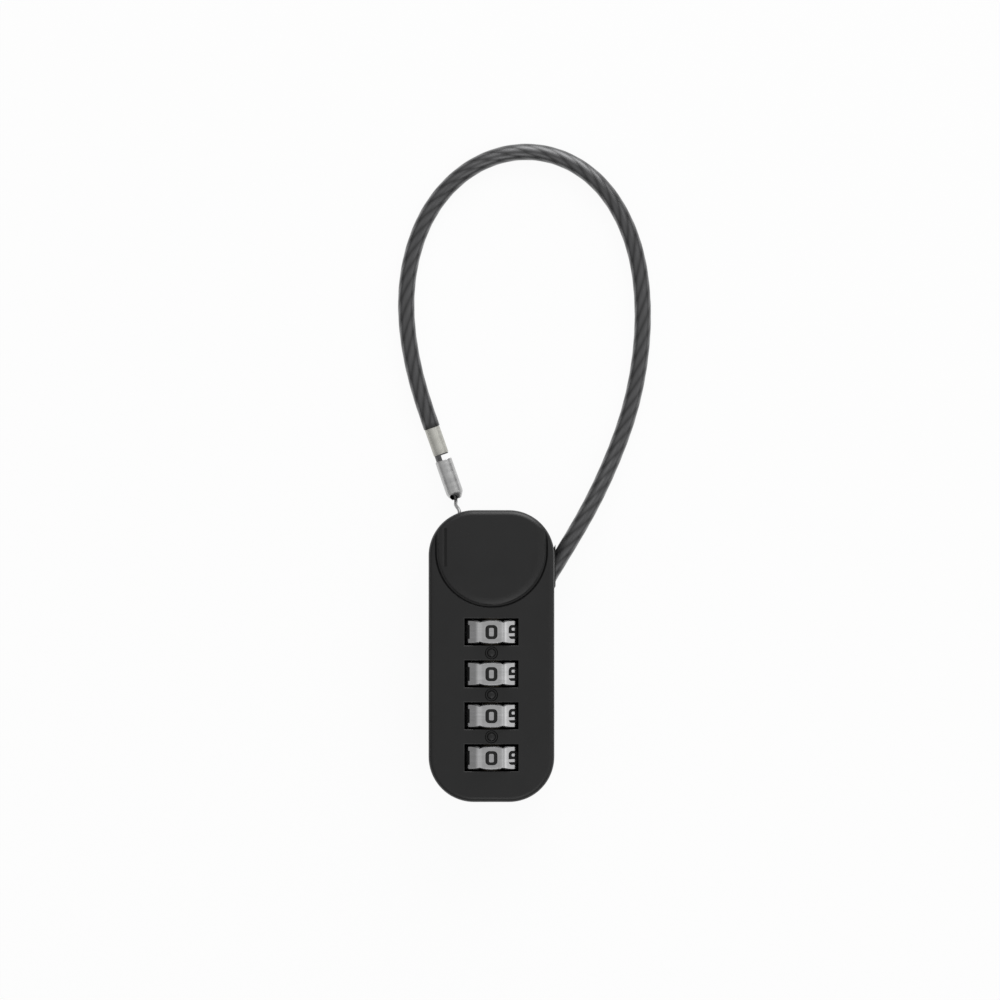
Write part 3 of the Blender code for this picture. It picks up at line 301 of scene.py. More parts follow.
def mottle(tree, grain, dark, light):
    """A colour that drifts between two in large soft patches."""
    return blend(tree, remap(tree, grain["Patches"], 0.3, 0.7), dark, light)


# %% Satin black plastic
BLACK, tree, shader, spot = new_finish("satin_black_plastic", (0.0035, 0.0035, 0.0037), 0.40)
grain = use(tree, MOULDED_GRAIN, spot, 9000.0)
wear = use(tree, EDGE_WEAR, spot, 0.00035, 0.55)
dust = use(tree, DUST, spot, 0.35)
mottled = mottle(tree, grain, (0.0028, 0.0028, 0.003), (0.0042, 0.0042, 0.0044))
rubbed = blend(tree, wear["Mask"], mottled, (0.014, 0.014, 0.0145))
dusty = blend(tree, dust["Specks"], rubbed, (0.08, 0.077, 0.074))
tree.links.new(dusty, shader.inputs["Base Color"])
smudged = remap(tree, dust["Smudges"], 0.0, 1.0, 0.34, 0.42)
satin = calc(tree, "ADD", smudged, calc(tree, "MULTIPLY", wear["Mask"], -0.10))
tree.links.new(satin, shader.inputs["Roughness"])
relief(tree, shader, grain["Height"], 0.000006)
print(BLACK.name)


# %% Turned metals
def turned_metal(
    name, dark, light, rough, centre, turn=(0, 0, 0), lines=9000.0, depth=0.0000012, worn=0.5,
):
    """A metal with fine turned lines round its own axis, tarnish, worn edges and a little dust."""
    finish, tree, shader, spot = new_finish(name, light, rough[1], 1.0)
    own = node(tree, "ShaderNodeMapping", spot, centre, turn, vector_type="TEXTURE").outputs[0]
    lathe = use(tree, TURNED_LINES, own, lines)
    grain = use(tree, MOULDED_GRAIN, spot, 14000.0)
    wear = use(tree, EDGE_WEAR, spot, 0.00018, worn)
    dust = use(tree, DUST, spot, 0.25)
    tarnished = blend(tree, remap(tree, lathe["Streaks"], 0.32, 0.66), dark, light)
    patchy = blend(tree, remap(tree, grain["Patches"], 0.45, 0.75, 0.0, 0.6), tarnished, dark)
    bright = blend(tree, wear["Mask"], patchy, tuple(min(1.0, 1.25 * v) for v in light))
    dusty = blend(tree, dust["Specks"], bright, (0.30, 0.29, 0.28))
    tree.links.new(dusty, shader.inputs["Base Color"])
    streaky = remap(tree, lathe["Streaks"], 0.3, 0.7, *rough)
    skin = calc(tree, "ADD", streaky, calc(tree, "MULTIPLY", wear["Mask"], -0.06))
    tree.links.new(skin, shader.inputs["Roughness"])
    tree.links.new(calc(tree, "SUBTRACT", 1.0, dust["Specks"]), shader.inputs["Metallic"])
    first = relief(tree, shader, grain["Height"], depth * 0.7)
    relief(tree, shader, lathe["Height"], depth, after=first)
    return finish


PIN_TILT = math.radians(19.3)
ALONG_PIN = (0, 0, PIN_TILT)
DIAL_AXIS = (0, 0, 0.01125)
PIN_AXIS = (-0.01215, 0.04828, 0.0021)
DIAL_METAL = turned_metal(
    "satin_dial_metal", (0.57, 0.57, 0.575), (0.67, 0.67, 0.675), (0.13, 0.21), DIAL_AXIS,
    lines=14000.0,
)
STEEL = turned_metal(
    "steel", (0.50, 0.50, 0.50), (0.60, 0.60, 0.595), (0.34, 0.46), PIN_AXIS, ALONG_PIN,
)
WARM_METAL = turned_metal(
    "crimped_aluminium", (0.52, 0.515, 0.475), (0.60, 0.595, 0.555), (0.48, 0.60),
    (-0.0144, 0.0547, 0.0021), ALONG_PIN, lines=4500.0, depth=0.000003, worn=0.35,
)
ZINC = turned_metal(
    "zinc", (0.34, 0.34, 0.345), (0.50, 0.50, 0.505), (0.34, 0.48), DIAL_AXIS,
    lines=5000.0, depth=0.000004,
)
AGED_BRASS = turned_metal(
    "brass", (0.030, 0.026, 0.018), (0.10, 0.080, 0.046), (0.42, 0.55), DIAL_AXIS,
    lines=7000.0, depth=0.000003,
)
SPRING_STEEL = turned_metal(
    "spring_steel", (0.16, 0.16, 0.17), (0.32, 0.32, 0.33), (0.28, 0.42), DIAL_AXIS,
    lines=3000.0, worn=0.3,
)
WIRE_STEEL = turned_metal(
    "wire_steel", (0.30, 0.30, 0.30), (0.44, 0.44, 0.435), (0.42, 0.55), (-0.0083, 0.0, 0.006),
    lines=2000.0, worn=0.3,
)
# Painted shade: a darker steel for the pin's neck groove and notch, where shade falls.
SHADED_STEEL = turned_metal(
    "steel_painted_shade", (0.09, 0.09, 0.09), (0.22, 0.22, 0.22), (0.45, 0.58), PIN_AXIS, ALONG_PIN,
)
print(len(bpy.data.materials), "materials")

# %% Paint in the numbers
NUMBER_PAINT, tree, shader, spot = new_finish("number_paint", (0.005, 0.005, 0.005), 0.5)
grain = use(tree, MOULDED_GRAIN, spot, 12000.0)
dust = use(tree, DUST, spot, 0.3)
mottled = mottle(tree, grain, (0.0035, 0.0035, 0.0035), (0.008, 0.008, 0.008))
tree.links.new(blend(tree, dust["Specks"], mottled, (0.10, 0.10, 0.10)), shader.inputs["Base Color"])
tree.links.new(remap(tree, dust["Smudges"], 0.0, 1.0, 0.45, 0.6), shader.inputs["Roughness"])
shader.inputs["Specular IOR Level"].default_value = 0.3
relief(tree, shader, grain["Height"], 0.000005)
BORE_SHADE = NUMBER_PAINT.copy()  # painted shade: the inside of the pin's hollow tip is painted black
BORE_SHADE.name = "bore_painted_shade"
BORE_SHADE.node_tree.nodes["Principled BSDF"].inputs["Specular IOR Level"].default_value = 0.05
print(NUMBER_PAINT.name, "and", BORE_SHADE.name)

# %% Rubber
RUBBER, tree, shader, spot = new_finish("black_rubber", (0.012, 0.012, 0.012), 0.7)
grain = use(tree, MOULDED_GRAIN, spot, 5000.0)
wear = use(tree, EDGE_WEAR, spot, 0.0003, 0.5)
dust = use(tree, DUST, spot, 0.5)
mottled = mottle(tree, grain, (0.008, 0.008, 0.008), (0.016, 0.016, 0.0155))
rubbed = blend(tree, wear["Mask"], mottled, (0.045, 0.045, 0.044))
tree.links.new(blend(tree, dust["Specks"], rubbed, (0.18, 0.175, 0.17)), shader.inputs["Base Color"])
tree.links.new(remap(tree, dust["Smudges"], 0.0, 1.0, 0.62, 0.8), shader.inputs["Roughness"])
relief(tree, shader, grain["Height"], 0.000014)
print(RUBBER.name)

# %% Finishes of the CAD solids that stay as they are
STAYING = {
    AGED_BRASS: ("spindle_bush",),
    STEEL: ("spindle",),
    ZINC: ("latch_bolt", "cable_anchor", "tether_anchor"),
    SPRING_STEEL: ("detent_spring",),
}
for finish, names in STAYING.items():
    for name in names:
        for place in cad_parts[name].material_slots:
            place.material = finish
        print(name, "in", finish.name)

# %% [markdown]
# ## Cable
# Six strands of steel wire twisted together to the right, pulled through a clear smoked jacket
# 4 mm thick. It could be a smooth tube with a stripe pattern, but the jacket follows the rope
# and the strands catch the light one by one, so the tube's skin has the rope's shape itself.

# %% The cable's way
CABLE_RADIUS = 2.0
CABLE_EXIT = Vector((0.015, 0.0208, 0.006))
CABLE_ANGLE = math.radians(31.0)
CABLE_WAY = Vector((math.sin(CABLE_ANGLE), math.cos(CABLE_ANGLE), 0))
CABLE_ROUTE_MM = [
    (2.57, 4.28, 0), (7.1, 11.8, -0.35), (9.6, 16.6, -1.15), (12.0, 21.4, -2.1),
    (14.0, 26.2, -2.95), (16.0, 31.0, -3.5), (17.6, 35.8, -3.8), (19.0, 40.6, -3.9),
    (20.8, 50.2, -3.9), (21.5, 59.8, -3.9), (21.0, 69.4, -3.9), (19.0, 79.1, -3.9),
    (14.3, 88.8, -3.9), (9.7, 94.1, -3.9), (5.4, 97.2, -3.9), (0.4, 99.5, -3.9),
    (-7.4, 100.7, -3.9), (-14.2, 99.3, -3.9), (-19.1, 97.1, -3.9), (-23.6, 93.9, -3.9),
    (-28.1, 88.8, -3.9), (-31.2, 83.9, -3.9), (-34.5, 74.2, -3.9), (-35.6, 64.6, -3.9),
    (-35.0, 55.0, -3.9), (-33.1, 45.4, -3.9), (-30.9, 38.1, -3.9), (-29.4, 33.9, -3.9),
]


def smooth_path(points, step):
    """Points about a step apart on a smooth curve through the given ones."""
    ends = [2 * points[0] - points[1]] + points + [2 * points[-1] - points[-2]]
    path = []
    for a, b, c, d in zip(ends, ends[1:], ends[2:], ends[3:]):
        count = max(1, round((c - b).length / step))
        for n in range(count):
            t = n / count
            path.append(
                0.5 * (2 * b + (c - a) * t + (2 * a - 5 * b + 4 * c - d) * t**2)
                + 0.5 * (3 * b - a - 3 * c + d) * t**3
            )
    return path + [points[-1]]


def relaxed(path, passes=300):
    """The path with its corners eased, as a stiff cable lies."""
    path = list(path)
    for _ in range(passes):
        path[2:-2] = [(a + b) / 2 for a, b in zip(path[1:-3], path[3:-1])]
    return path


inside = [CABLE_EXIT * 1000 - CABLE_WAY * distance for distance in (10.2, 5.1, 0.0)]
outside = [CABLE_EXIT * 1000 + Vector(p) for p in CABLE_ROUTE_MM]
cable_path = smooth_path(inside + outside, 0.4)
eased = relaxed(cable_path)
# The same easing once more shows what it took from the loop, which is given back.
cable_path = [2 * a - b for a, b in zip(eased, relaxed(eased))]
cable_length = sum((b - a).length for a, b in zip(cable_path, cable_path[1:]))
print("cable", round(cable_length, 1), "mm with", len(cable_path), "rings")


# %% Smoked jacket: steel strands seen through a clear dark skin, with painted shade in their grooves
STRANDS = 6
STRAND_LAY = 28.5  # one turn of the rope, in millimetres
WIRES = 42  # fine wires round the rope
WIRE_TWIST = 190.0  # how many of them a straight line crosses in a metre
JACKET, tree, shader, spot = new_finish("smoked_jacket", (0.05, 0.05, 0.052), 0.38, 0.8)
round_about = node(tree, "ShaderNodeSeparateXYZ", tree.nodes.new("ShaderNodeTexCoord").outputs["UV"])
turns, metres = round_about.outputs[0], round_about.outputs[1]
lag = calc(tree, "DIVIDE", metres, STRAND_LAY * 0.001)
strand = calc(tree, "MULTIPLY", calc(tree, "SUBTRACT", turns, lag), float(STRANDS))
crest = calc(tree, "ABSOLUTE", calc(tree, "SINE", calc(tree, "MULTIPLY", strand, math.pi)))
twist = calc(tree, "MULTIPLY", turns, float(WIRES))
wire = calc(tree, "ADD", twist, calc(tree, "MULTIPLY", metres, WIRE_TWIST))
wire_top = calc(tree, "ABSOLUTE", calc(tree, "SINE", calc(tree, "MULTIPLY", wire, math.pi)))
grain = use(tree, MOULDED_GRAIN, spot, 6000.0)
dust = use(tree, DUST, spot, 0.5)
uneven = remap(tree, grain["Patches"], 0.3, 0.7, 0.8, 1.15)
# Painted light and shade: the grooves between the strands and between the wires are darker in colour and the
# crests lighter.
lit = calc(tree, "MULTIPLY", crest, remap(tree, wire_top, 0.0, 0.6, 0.45, 1.0))
# Painted shade: the last millimetre before the crimp is painted dark, as the jacket's end in shade.
jacket_end_shade = remap(tree, metres, cable_length * 0.001 - 0.0013, cable_length * 0.001 - 0.0004)
shown = calc(tree, "MULTIPLY", calc(tree, "MULTIPLY", lit, uneven), calc(tree, "SUBTRACT", 1.0, jacket_end_shade))
strands_with_painted_shade = blend(tree, shown, (0.020, 0.020, 0.021), (0.090, 0.090, 0.093))
tree.links.new(blend(tree, dust["Specks"], strands_with_painted_shade, (0.25, 0.245, 0.24)), shader.inputs["Base Color"])
tree.links.new(remap(tree, dust["Smudges"], 0.0, 1.0, 0.30, 0.42), shader.inputs["Roughness"])
shader.inputs["Coat Weight"].default_value = 1.0
shader.inputs["Coat Roughness"].default_value = 0.30
rope = calc(tree, "ADD", calc(tree, "POWER", crest, 0.5), calc(tree, "MULTIPLY", wire_top, 0.12))
first = relief(tree, shader, rope, 0.00006)
relief(tree, shader, grain["Height"], 0.000004, after=first)
print(JACKET.name, "over", STRANDS, "strands")

# %% A tube along a path, from a grid that is rolled up
def rolled_tube(name, path, radius_at, around):
    """A closed tube: radius_at(angle, distance) gives its radius. Its UV map is turns by metres."""
    bm = bmesh.new()
    uv = bm.loops.layers.uv.new("UVMap")
    bmesh.ops.create_grid(bm, x_segments=around, y_segments=len(path) - 1, size=0.5, calc_uvs=True)
    distance = [0.0]
    for a, b in zip(path, path[1:]):
        distance.append(distance[-1] + (b - a).length)
    for face in bm.faces:
        for loop in face.loops:
            ring = round((loop.vert.co.y + 0.5) * (len(path) - 1))
            loop[uv].uv = (loop.vert.co.x + 0.5, distance[ring] * 0.001)
    for v in bm.verts:
        ring = round((v.co.y + 0.5) * (len(path) - 1))
        turn = 2 * math.pi * (v.co.x + 0.5)
        ahead = path[min(ring + 1, len(path) - 1)] - path[max(ring - 1, 0)]
        side = ahead.cross(Vector((0, 0, 1))).normalized()
        down = ahead.normalized().cross(side)
        reach = radius_at(turn, distance[ring])
        v.co = path[ring] + reach * (math.cos(turn) * side + math.sin(turn) * down)
    bmesh.ops.remove_doubles(bm, verts=bm.verts, dist=1e-3)
    bmesh.ops.holes_fill(bm, edges=[e for e in bm.edges if e.is_boundary], sides=0)
    return mesh_from(bm, name)


# %% Cable jacket with the strands showing through it
STRAND_RELIEF = 0.035


def jacket_radius(turn, distance):
    """The jacket sinks a little between the strands, which turn to the right."""
    phase = STRANDS * (turn / (2 * math.pi) - distance / STRAND_LAY)
    return CABLE_RADIUS - STRAND_RELIEF * math.cos(math.pi * phase) ** 4


cable = new_piece(
    "cable_jacket",
    rolled_tube("cable_jacket", cable_path, jacket_radius, 48),
    "head", "smoked_jacket", JACKET, "steel_cable", sharp=60,
)
print("cable", len(cable.data.polygons), "faces")

# %% [markdown]
# ## Solids in millimetres
# The lock is small, so each solid is drawn in millimetres and shrunk to metres when it becomes a
# mesh. Holes and slots are cut with exact Booleans, as a mould's cores would leave them, and the
# modifier is applied at once, so that the piece is a plain mesh afterwards.

# %% Boxes, rods and turned shapes
AXIS_Z = 11.25  # the dials' common axis, above the back
DIAL_YS = (5.8, -4.2, -14.2, -24.2)
HALF_WIDTH, HALF_LENGTH = 15, 34.8  # of the head
FACE = 18.65  # the head's face, above its back
ARCH_STEPS = 40


def add_box(bm, low, high):
    low, high = Vector(low), Vector(high)
    place = Matrix.Translation((low + high) / 2) @ Matrix.Diagonal((*(high - low), 1))
    return bmesh.ops.create_cube(bm, size=1, matrix=place)["verts"]


def box(name, *corners):
    bm = bmesh.new()
    for low, high in corners:
        add_box(bm, low, high)
    return mesh_from(bm, name)


def upright_edges(bm):
    """The edges that rise: on a plate, its corners."""
    return [e for e in bm.edges if abs(e.verts[0].co.z - e.verts[1].co.z) > 0.1]


def raised(bm, top):
    """Grows a wall from a face: its new top, not moved yet, and its vertices."""
    moved = bmesh.ops.extrude_face_region(bm, geom=[top])["geom"]
    bmesh.ops.delete(bm, geom=[top], context="FACES_ONLY")
    verts = [v for v in moved if isinstance(v, bmesh.types.BMVert)]
    return next(f for f in moved if isinstance(f, bmesh.types.BMFace)), verts


def along(start, way):
    """The place of a shape that is turned about Z, with its start there and Z along way."""
    return Matrix.Translation(start) @ Vector(way).to_track_quat("Z", "Y").to_matrix().to_4x4()


def rod(name, radius, *ends, steps=48):
    bm = bmesh.new()
    for start, end in ends:
        start, end = Vector(start), Vector(end)
        bmesh.ops.create_cone(
            bm, cap_ends=True, segments=steps, radius1=radius, radius2=radius,
            depth=(end - start).length, matrix=along((start + end) / 2, end - start),
        )
    return mesh_from(bm, name)


def turned(name, profile, *places, steps=64):
    """One shape for each place, spun about Z from (radius, height) pairs."""
    bm = bmesh.new()
    for place in places:
        line = [bm.verts.new((r, 0, h)) for r, h in profile]
        edges = [bm.edges.new(pair) for pair in zip(line, line[1:])]
        if profile[0][0] > 0:
            edges.append(bm.edges.new((line[-1], line[0])))
        before = set(bm.verts) - set(line)
        bmesh.ops.spin(
            bm, geom=line + edges, cent=(0, 0, 0), axis=(0, 0, 1),
            angle=2 * math.pi, steps=steps, use_merge=True,
        )
        bmesh.ops.transform(bm, matrix=place, verts=[v for v in bm.verts if v not in before])
    return mesh_from(bm, name)


def arch(name, radius, *spans):
    """A round-topped passage along Y for each span, open down through the parting line."""
    bm = bmesh.new()
    for start, end in spans:
        verts = add_box(bm, (-radius, start, 5.0), (radius, end, AXIS_Z + radius))
        ridge = [
            e for e in bm.edges
            if all(v in verts and v.co.z > AXIS_Z for v in e.verts)
            and abs(e.verts[0].co.y - e.verts[1].co.y) > 0.1
        ]
        bevel(bm, ridge, radius * 0.9999, ARCH_STEPS)
    return mesh_from(bm, name)


def bevel(bm, edges, offset, segments):
    bmesh.ops.bevel(
        bm, geom=edges, offset=offset, offset_type="OFFSET", affect="EDGES",
        segments=segments, profile=0.5, material=-1,
    )


# %% Cutting and joining
def carve(mesh, *tools, operation="DIFFERENCE"):
    """The mesh with each tool cut out of it, or joined to it."""
    work = bpy.data.objects.new(mesh.name, mesh)
    scene.collection.objects.link(work)
    helpers = [bpy.data.objects.new(tool.name, tool) for tool in tools]
    for helper in helpers:
        scene.collection.objects.link(helper)
        step = work.modifiers.new(helper.name, "BOOLEAN")
        step.object, step.operation, step.solver = helper, operation, "EXACT"
        if helper.data.materials:
            step.material_mode = "TRANSFER"
    made = evaluated(work)
    for obj in (work, *helpers):
        bpy.data.objects.remove(obj)
    return made


def placed(mesh, place):
    """The mesh moved in millimetres."""
    in_metres = place.copy()
    in_metres.translation = place.translation * 0.001
    mesh.transform(in_metres)
    return mesh


def open_edges(mesh):
    """How many edges don't have two faces: none on a closed piece."""
    bm = bmesh.new()
    bm.from_mesh(mesh)
    count = sum(not e.is_manifold for e in bm.edges)
    bm.free()
    return count


print("cutting tools")

# %% [markdown]
# ## Head
# The head is two moulded halves that meet in a line round the side. The front half carries a
# raised pad with a tapered line round its foot and a V-shaped groove beside its edge, four
# windows and the small dimples that mark the open code. A lofted surface could follow the
# outline, but it is simply a block with 10.8 mm corners and a soft rim, so bevels make it truer.

# %% A half of the head
CORNER, RIM_ROUND = 10.8, 1.3


def head_block(name, start, rim, edge=0.18):
    """A slab of the head from start to the rim's height, with the rim rounded."""
    bm = bmesh.new()
    low, high = sorted((start, rim))
    add_box(bm, (-HALF_WIDTH, -HALF_LENGTH, low), (HALF_WIDTH, HALF_LENGTH, high))
    bevel(bm, upright_edges(bm), CORNER, 24)
    for height, offset, segments in ((rim, RIM_ROUND, 8), (start, edge, 2)):
        loop = [e for e in bm.edges if all(abs(v.co.z - height) < 1e-5 for v in e.verts)]
        if offset:
            bevel(bm, loop, offset, segments)
    return mesh_from(bm, name)


# %% The raised pad
PAD_REACH = 12.7  # the radius of the pad's round end
PAD_MIDDLE = 24.95
PAD_FOOT, PAD_WALL = 17.35, 0.36
PAD_PAST_TOP = 37.0  # past the head's top end, where the pad is trimmed
PAD_TOP_STEPS = (  # inwards and upwards, from the wall to the flat top
    (0.05, 0.07), (0.10, 0.075), (0.20, 0.075), (0.35, 0.08), (0.40, 0.07), (0.40, 0.045), (0.35, 0.025),
)


def round_off_end(bm, radius):
    """Rounds the pad's lower end, whose two corners lie below y = 13."""
    corners = [e for e in upright_edges(bm) if all(v.co.y < 13 for v in e.verts)]
    bevel(bm, corners, radius - 0.001, 48)
    bmesh.ops.remove_doubles(bm, verts=bm.verts, dist=0.01)


def raised_pad():
    """A round-ended pad with an upright foot and an edge that curves gently over to the top."""
    bm = bmesh.new()
    add_box(bm, (-PAD_REACH, PAD_MIDDLE - PAD_REACH, PAD_FOOT), (PAD_REACH, PAD_PAST_TOP, FACE))
    round_off_end(bm, PAD_REACH)
    top, verts = raised(bm, max(bm.faces, key=lambda f: f.calc_center_median().z))
    bmesh.ops.translate(bm, vec=(0, 0, PAD_WALL), verts=verts)
    for inwards, upwards in PAD_TOP_STEPS:
        bmesh.ops.inset_region(bm, faces=[top], thickness=inwards, depth=upwards)
    pad = mesh_from(bm, "raised_pad")
    return carve(pad, head_block("pad_outline", 16.0, 19.45, 0), operation="INTERSECT")


# %% Windows, dimples and the groove beside the pad's edge
WINDOW_X, WINDOW_Y = 6.35, 3.16  # half its width and half its height
LIP = 0.3  # the rounding at the face
LIP_FOOT = 18.35
PAD_LINE_DEPTH = 0.32


def window_cores():
    """The windows' cores, flared at the face so that each lip is rounded."""
    bm = bmesh.new()
    for y in DIAL_YS:
        verts = add_box(bm, (-WINDOW_X, y - WINDOW_Y, 16.15), (WINDOW_X, y + WINDOW_Y, LIP_FOOT))
        top = next(f for f in bm.faces if all(v in verts and v.co.z > 18 for v in f.verts))
        for turn in (22.5, 45, 67.5, 85):
            done = LIP * (1 - math.cos(math.radians(turn)))
            height = LIP_FOOT + LIP * math.sin(math.radians(turn))
            half_width, half_height = WINDOW_X + done, WINDOW_Y + done
            top, verts = raised(bm, top)
            for v in verts:
                v.co = (math.copysign(half_width, v.co.x), y + math.copysign(half_height, v.co.y - y), height)
        top, verts = raised(bm, top)
        bmesh.ops.translate(bm, vec=(0, 0, 1), verts=verts)
    return mesh_from(bm, "window_cores")


dimple_cores = turned(
    "dimple_cores",
    [
        (0, -0.16), (0.45, -0.18), (0.75, -0.26), (0.95, -0.42), (1.08, -0.52), (1.34, -0.52),
        (1.44, -0.40), (1.5, -0.12), (1.56, 0.0), (1.56, 0.4), (0, 0.4),
    ],
    *[Matrix.Translation((0, y - 5.0, FACE)) for y in DIAL_YS[:3]],
)


def pad_plate(name, grown, low, high, taper=0.0):
    """The pad's outline, grown by a little, as a plate that can narrow to its underside."""
    bm = bmesh.new()
    reach = PAD_REACH + grown
    add_box(bm, (-reach, PAD_MIDDLE - reach, low), (reach, PAD_PAST_TOP, high))
    round_off_end(bm, reach)
    if taper:
        under = min(bm.faces, key=lambda f: f.calc_center_median().z)
        bmesh.ops.inset_region(bm, faces=[under], thickness=taper, depth=PAD_LINE_DEPTH)
    return mesh_from(bm, name)


pad_line_core = carve(
    pad_plate("pad_line", 0.80, 18.645, 18.9, 0.45), pad_plate("pad_inside", -0.002, 18.0, 19.1)
)
# The groove's core is a rod with four sides, set on its corner and then widened and flattened.
groove_core = rod("groove_core", 0.52, ((0, 21.4, 0), (0, 30.6, 0)), steps=4)
groove_core.transform(Matrix.Translation((-0.0111, 0, 0.01942)) @ Matrix.Diagonal((1.15, 1, 0.7, 1)))
print("pad, windows, dimples and groove")

# %% What lies across the parting line
CABLE_FROM_EXIT = along(CABLE_EXIT * 1000, CABLE_WAY)
shared_cores = [
    turned(
        "socket_core",
        [(0, 35.8), (4.1, 35.8), (3.1, 34.8), (2.62, 34.2), (2.35, 33.6), (2.35, 20.55), (0, 20.55)],
        along((-7.7, 0, 6.0), (0, 1, 0)),
    ),
    rod("tether_core", 1.5, ((-8.3, 17.55, 6.0), (-8.3, 21.55, 6.0)), steps=32),
    turned(
        "cable_core",
        [(0, 8), (2.75, 8), (2.75, -6.6), (3.05, -6.6), (3.05, -11.8), (0, -11.8)],
        CABLE_FROM_EXIT,
    ),
    box("latch_core", ((-7.75, 29.7, 3.4), (2.0, 31.3, 14.05))),
]
RIVETS = ((-7.5, -30.5), (7.5, -30.5), (11.8, 0.8), (-11.8, 13.75), (7.7, 28.1))
lug_spans = [(y + 3.1, y + 4.5) for y in DIAL_YS]
well_spans = [(y - 3.25, y + 3.25) for y in DIAL_YS]
print(len(shared_cores), "cores shared by both halves")

# %% Front housing
front = carve(head_block("front_shell", 6.15, FACE), raised_pad(), operation="UNION")
front = carve(
    front,
    arch("well_core", 9.75, *well_spans),
    arch("tunnel_core", 4.35, (-31.5, 22.8)),
    arch("spring_core", 3.1, (22.5, 33.0)),
    arch("lug_core", 4.95, *lug_spans),
    box("leaf_core", ((-10.85, -28.5, 5.15), (-9.45, 10.1, 11.25))),
    box(
        "pocket_core",
        ((-13.2, -24.2, 5.0), (-11.6, -2.4, 16.65)), ((11.6, -24.2, 5.0), (13.2, -2.4, 16.65)),
    ),
    rod("button_core", 2.7, ((0, -35.8, AXIS_Z), (0, -30.5, AXIS_Z))),
    rod("rivet_core", 1.3, *[((x, y, 5.0), (x, y, 12.3)) for x, y in RIVETS], steps=32),
    window_cores(), dimple_cores, pad_line_core, groove_core, *shared_cores,
)
new_piece("front_half", front, "head", "satin_black_plastic", BLACK, "front_housing")
print("front half", len(front.polygons), "faces,", open_edges(front), "open edges")

# %% Rear cover
saddles = [((-4.05, y - 4.85, 5.0), (4.05, y - 3.4, 9.225)) for y in DIAL_YS]
saddles.append(((-4.05, 20.0, 5.0), (4.05, 22.2, 9.225)))
rear = carve(head_block("rear_shell", 5.85, 0.0), box("saddles", *saddles), operation="UNION")


def on_axis(spans):
    return [((0, start, AXIS_Z), (0, end, AXIS_Z)) for start, end in spans]


rear = carve(
    rear,
    rod("rear_well_core", 9.75, *on_axis(well_spans), steps=80),
    rod("rear_tunnel_core", 4.35, *on_axis([(-31.5, 22.8)]), steps=64),
    rod("rear_lug_core", 4.95, *on_axis(lug_spans), steps=64),
    rod("rear_rivet_core", 1.3, *[((x, y, -1), (x, y, 7)) for x, y in RIVETS], steps=32),
    rod("rivet_sink", 1.8, *[((x, y, -1), (x, y, 1.4)) for x, y in RIVETS], steps=40),
    *shared_cores,
)
new_piece("rear_half", rear, "head", "satin_black_plastic", BLACK, "rear_cover")
print("rear half", len(rear.polygons), "faces,", open_edges(rear), "open edges")

# %% [markdown]
# ## Dials
# Each dial is a metal ring with ten flat pads that roll over into each other, with a fine crease
# between every two and chamfered rims that draw in there, so that a fingertip finds a hold. It is
# spun once round with enough steps for the creases, and each vertex is then set to its pad. The
# numbers are cut into the pads and painted. Text outlines would do, but they break when they are
# made bolder, so each is a rounded plate with openings cut away, and the Boolean keeps the paint.

# %% One dial
PADS = 10
DIAL_RIM = 9.4  # out to the line between two pads
PAD_HALF = math.pi / PADS
ROLL_REACH, ROLL_DEPTH = 1.1, 0.17  # how a pad rolls over to its neighbour
CREASE_REACH, CREASE_DEPTH = 0.2, 0.05
RIM_DRAW = 0.40  # how far the rims draw in at a crease


def dial_blank():
    rim = [(8.86, 2.9), (8.94, 2.87), (9.33, 2.67), (9.39, 2.62), (9.4, 2.56)]
    near_side, far_side = [(r, -h) for r, h in rim], reversed(rim)
    profile = [(4.35, -2.75), (4.5, -2.9), *near_side, *far_side, (4.5, 2.9), (4.35, 2.75)]
    bm = bmesh.new()
    line = [bm.verts.new((0, h, r)) for r, h in profile]
    edges = [bm.edges.new(pair) for pair in zip(line, line[1:] + line[:1])]
    bmesh.ops.spin(
        bm, geom=line + edges, cent=(0, 0, 0), axis=(0, 1, 0),
        angle=2 * math.pi, steps=36 * PADS, use_merge=True,
    )
    for v in bm.verts:
        radius = math.hypot(v.co.x, v.co.z)
        if radius < 5:
            continue
        off = (math.atan2(v.co.x, v.co.z) + PAD_HALF) % (2 * PAD_HALF) - PAD_HALF
        from_groove = (PAD_HALF - abs(off)) * DIAL_RIM
        flat = DIAL_RIM * math.cos(PAD_HALF) / math.cos(off)
        roll = ROLL_DEPTH * max(0.0, 1 - from_groove / ROLL_REACH) ** 2
        crease = CREASE_DEPTH * max(0.0, 1 - from_groove / CREASE_REACH)
        flat -= roll + crease
        v.co.y -= math.copysign(RIM_DRAW * abs(off / PAD_HALF) ** 2.2, v.co.y)
        v.co.x *= flat / DIAL_RIM
        v.co.z *= flat / DIAL_RIM
    bmesh.ops.dissolve_limit(bm, angle_limit=0.002, verts=bm.verts, edges=bm.edges)
    return mesh_from(bm, "dial_blank")


print(PADS, "pads of", round(math.degrees(2 * PAD_HALF)), "degrees")

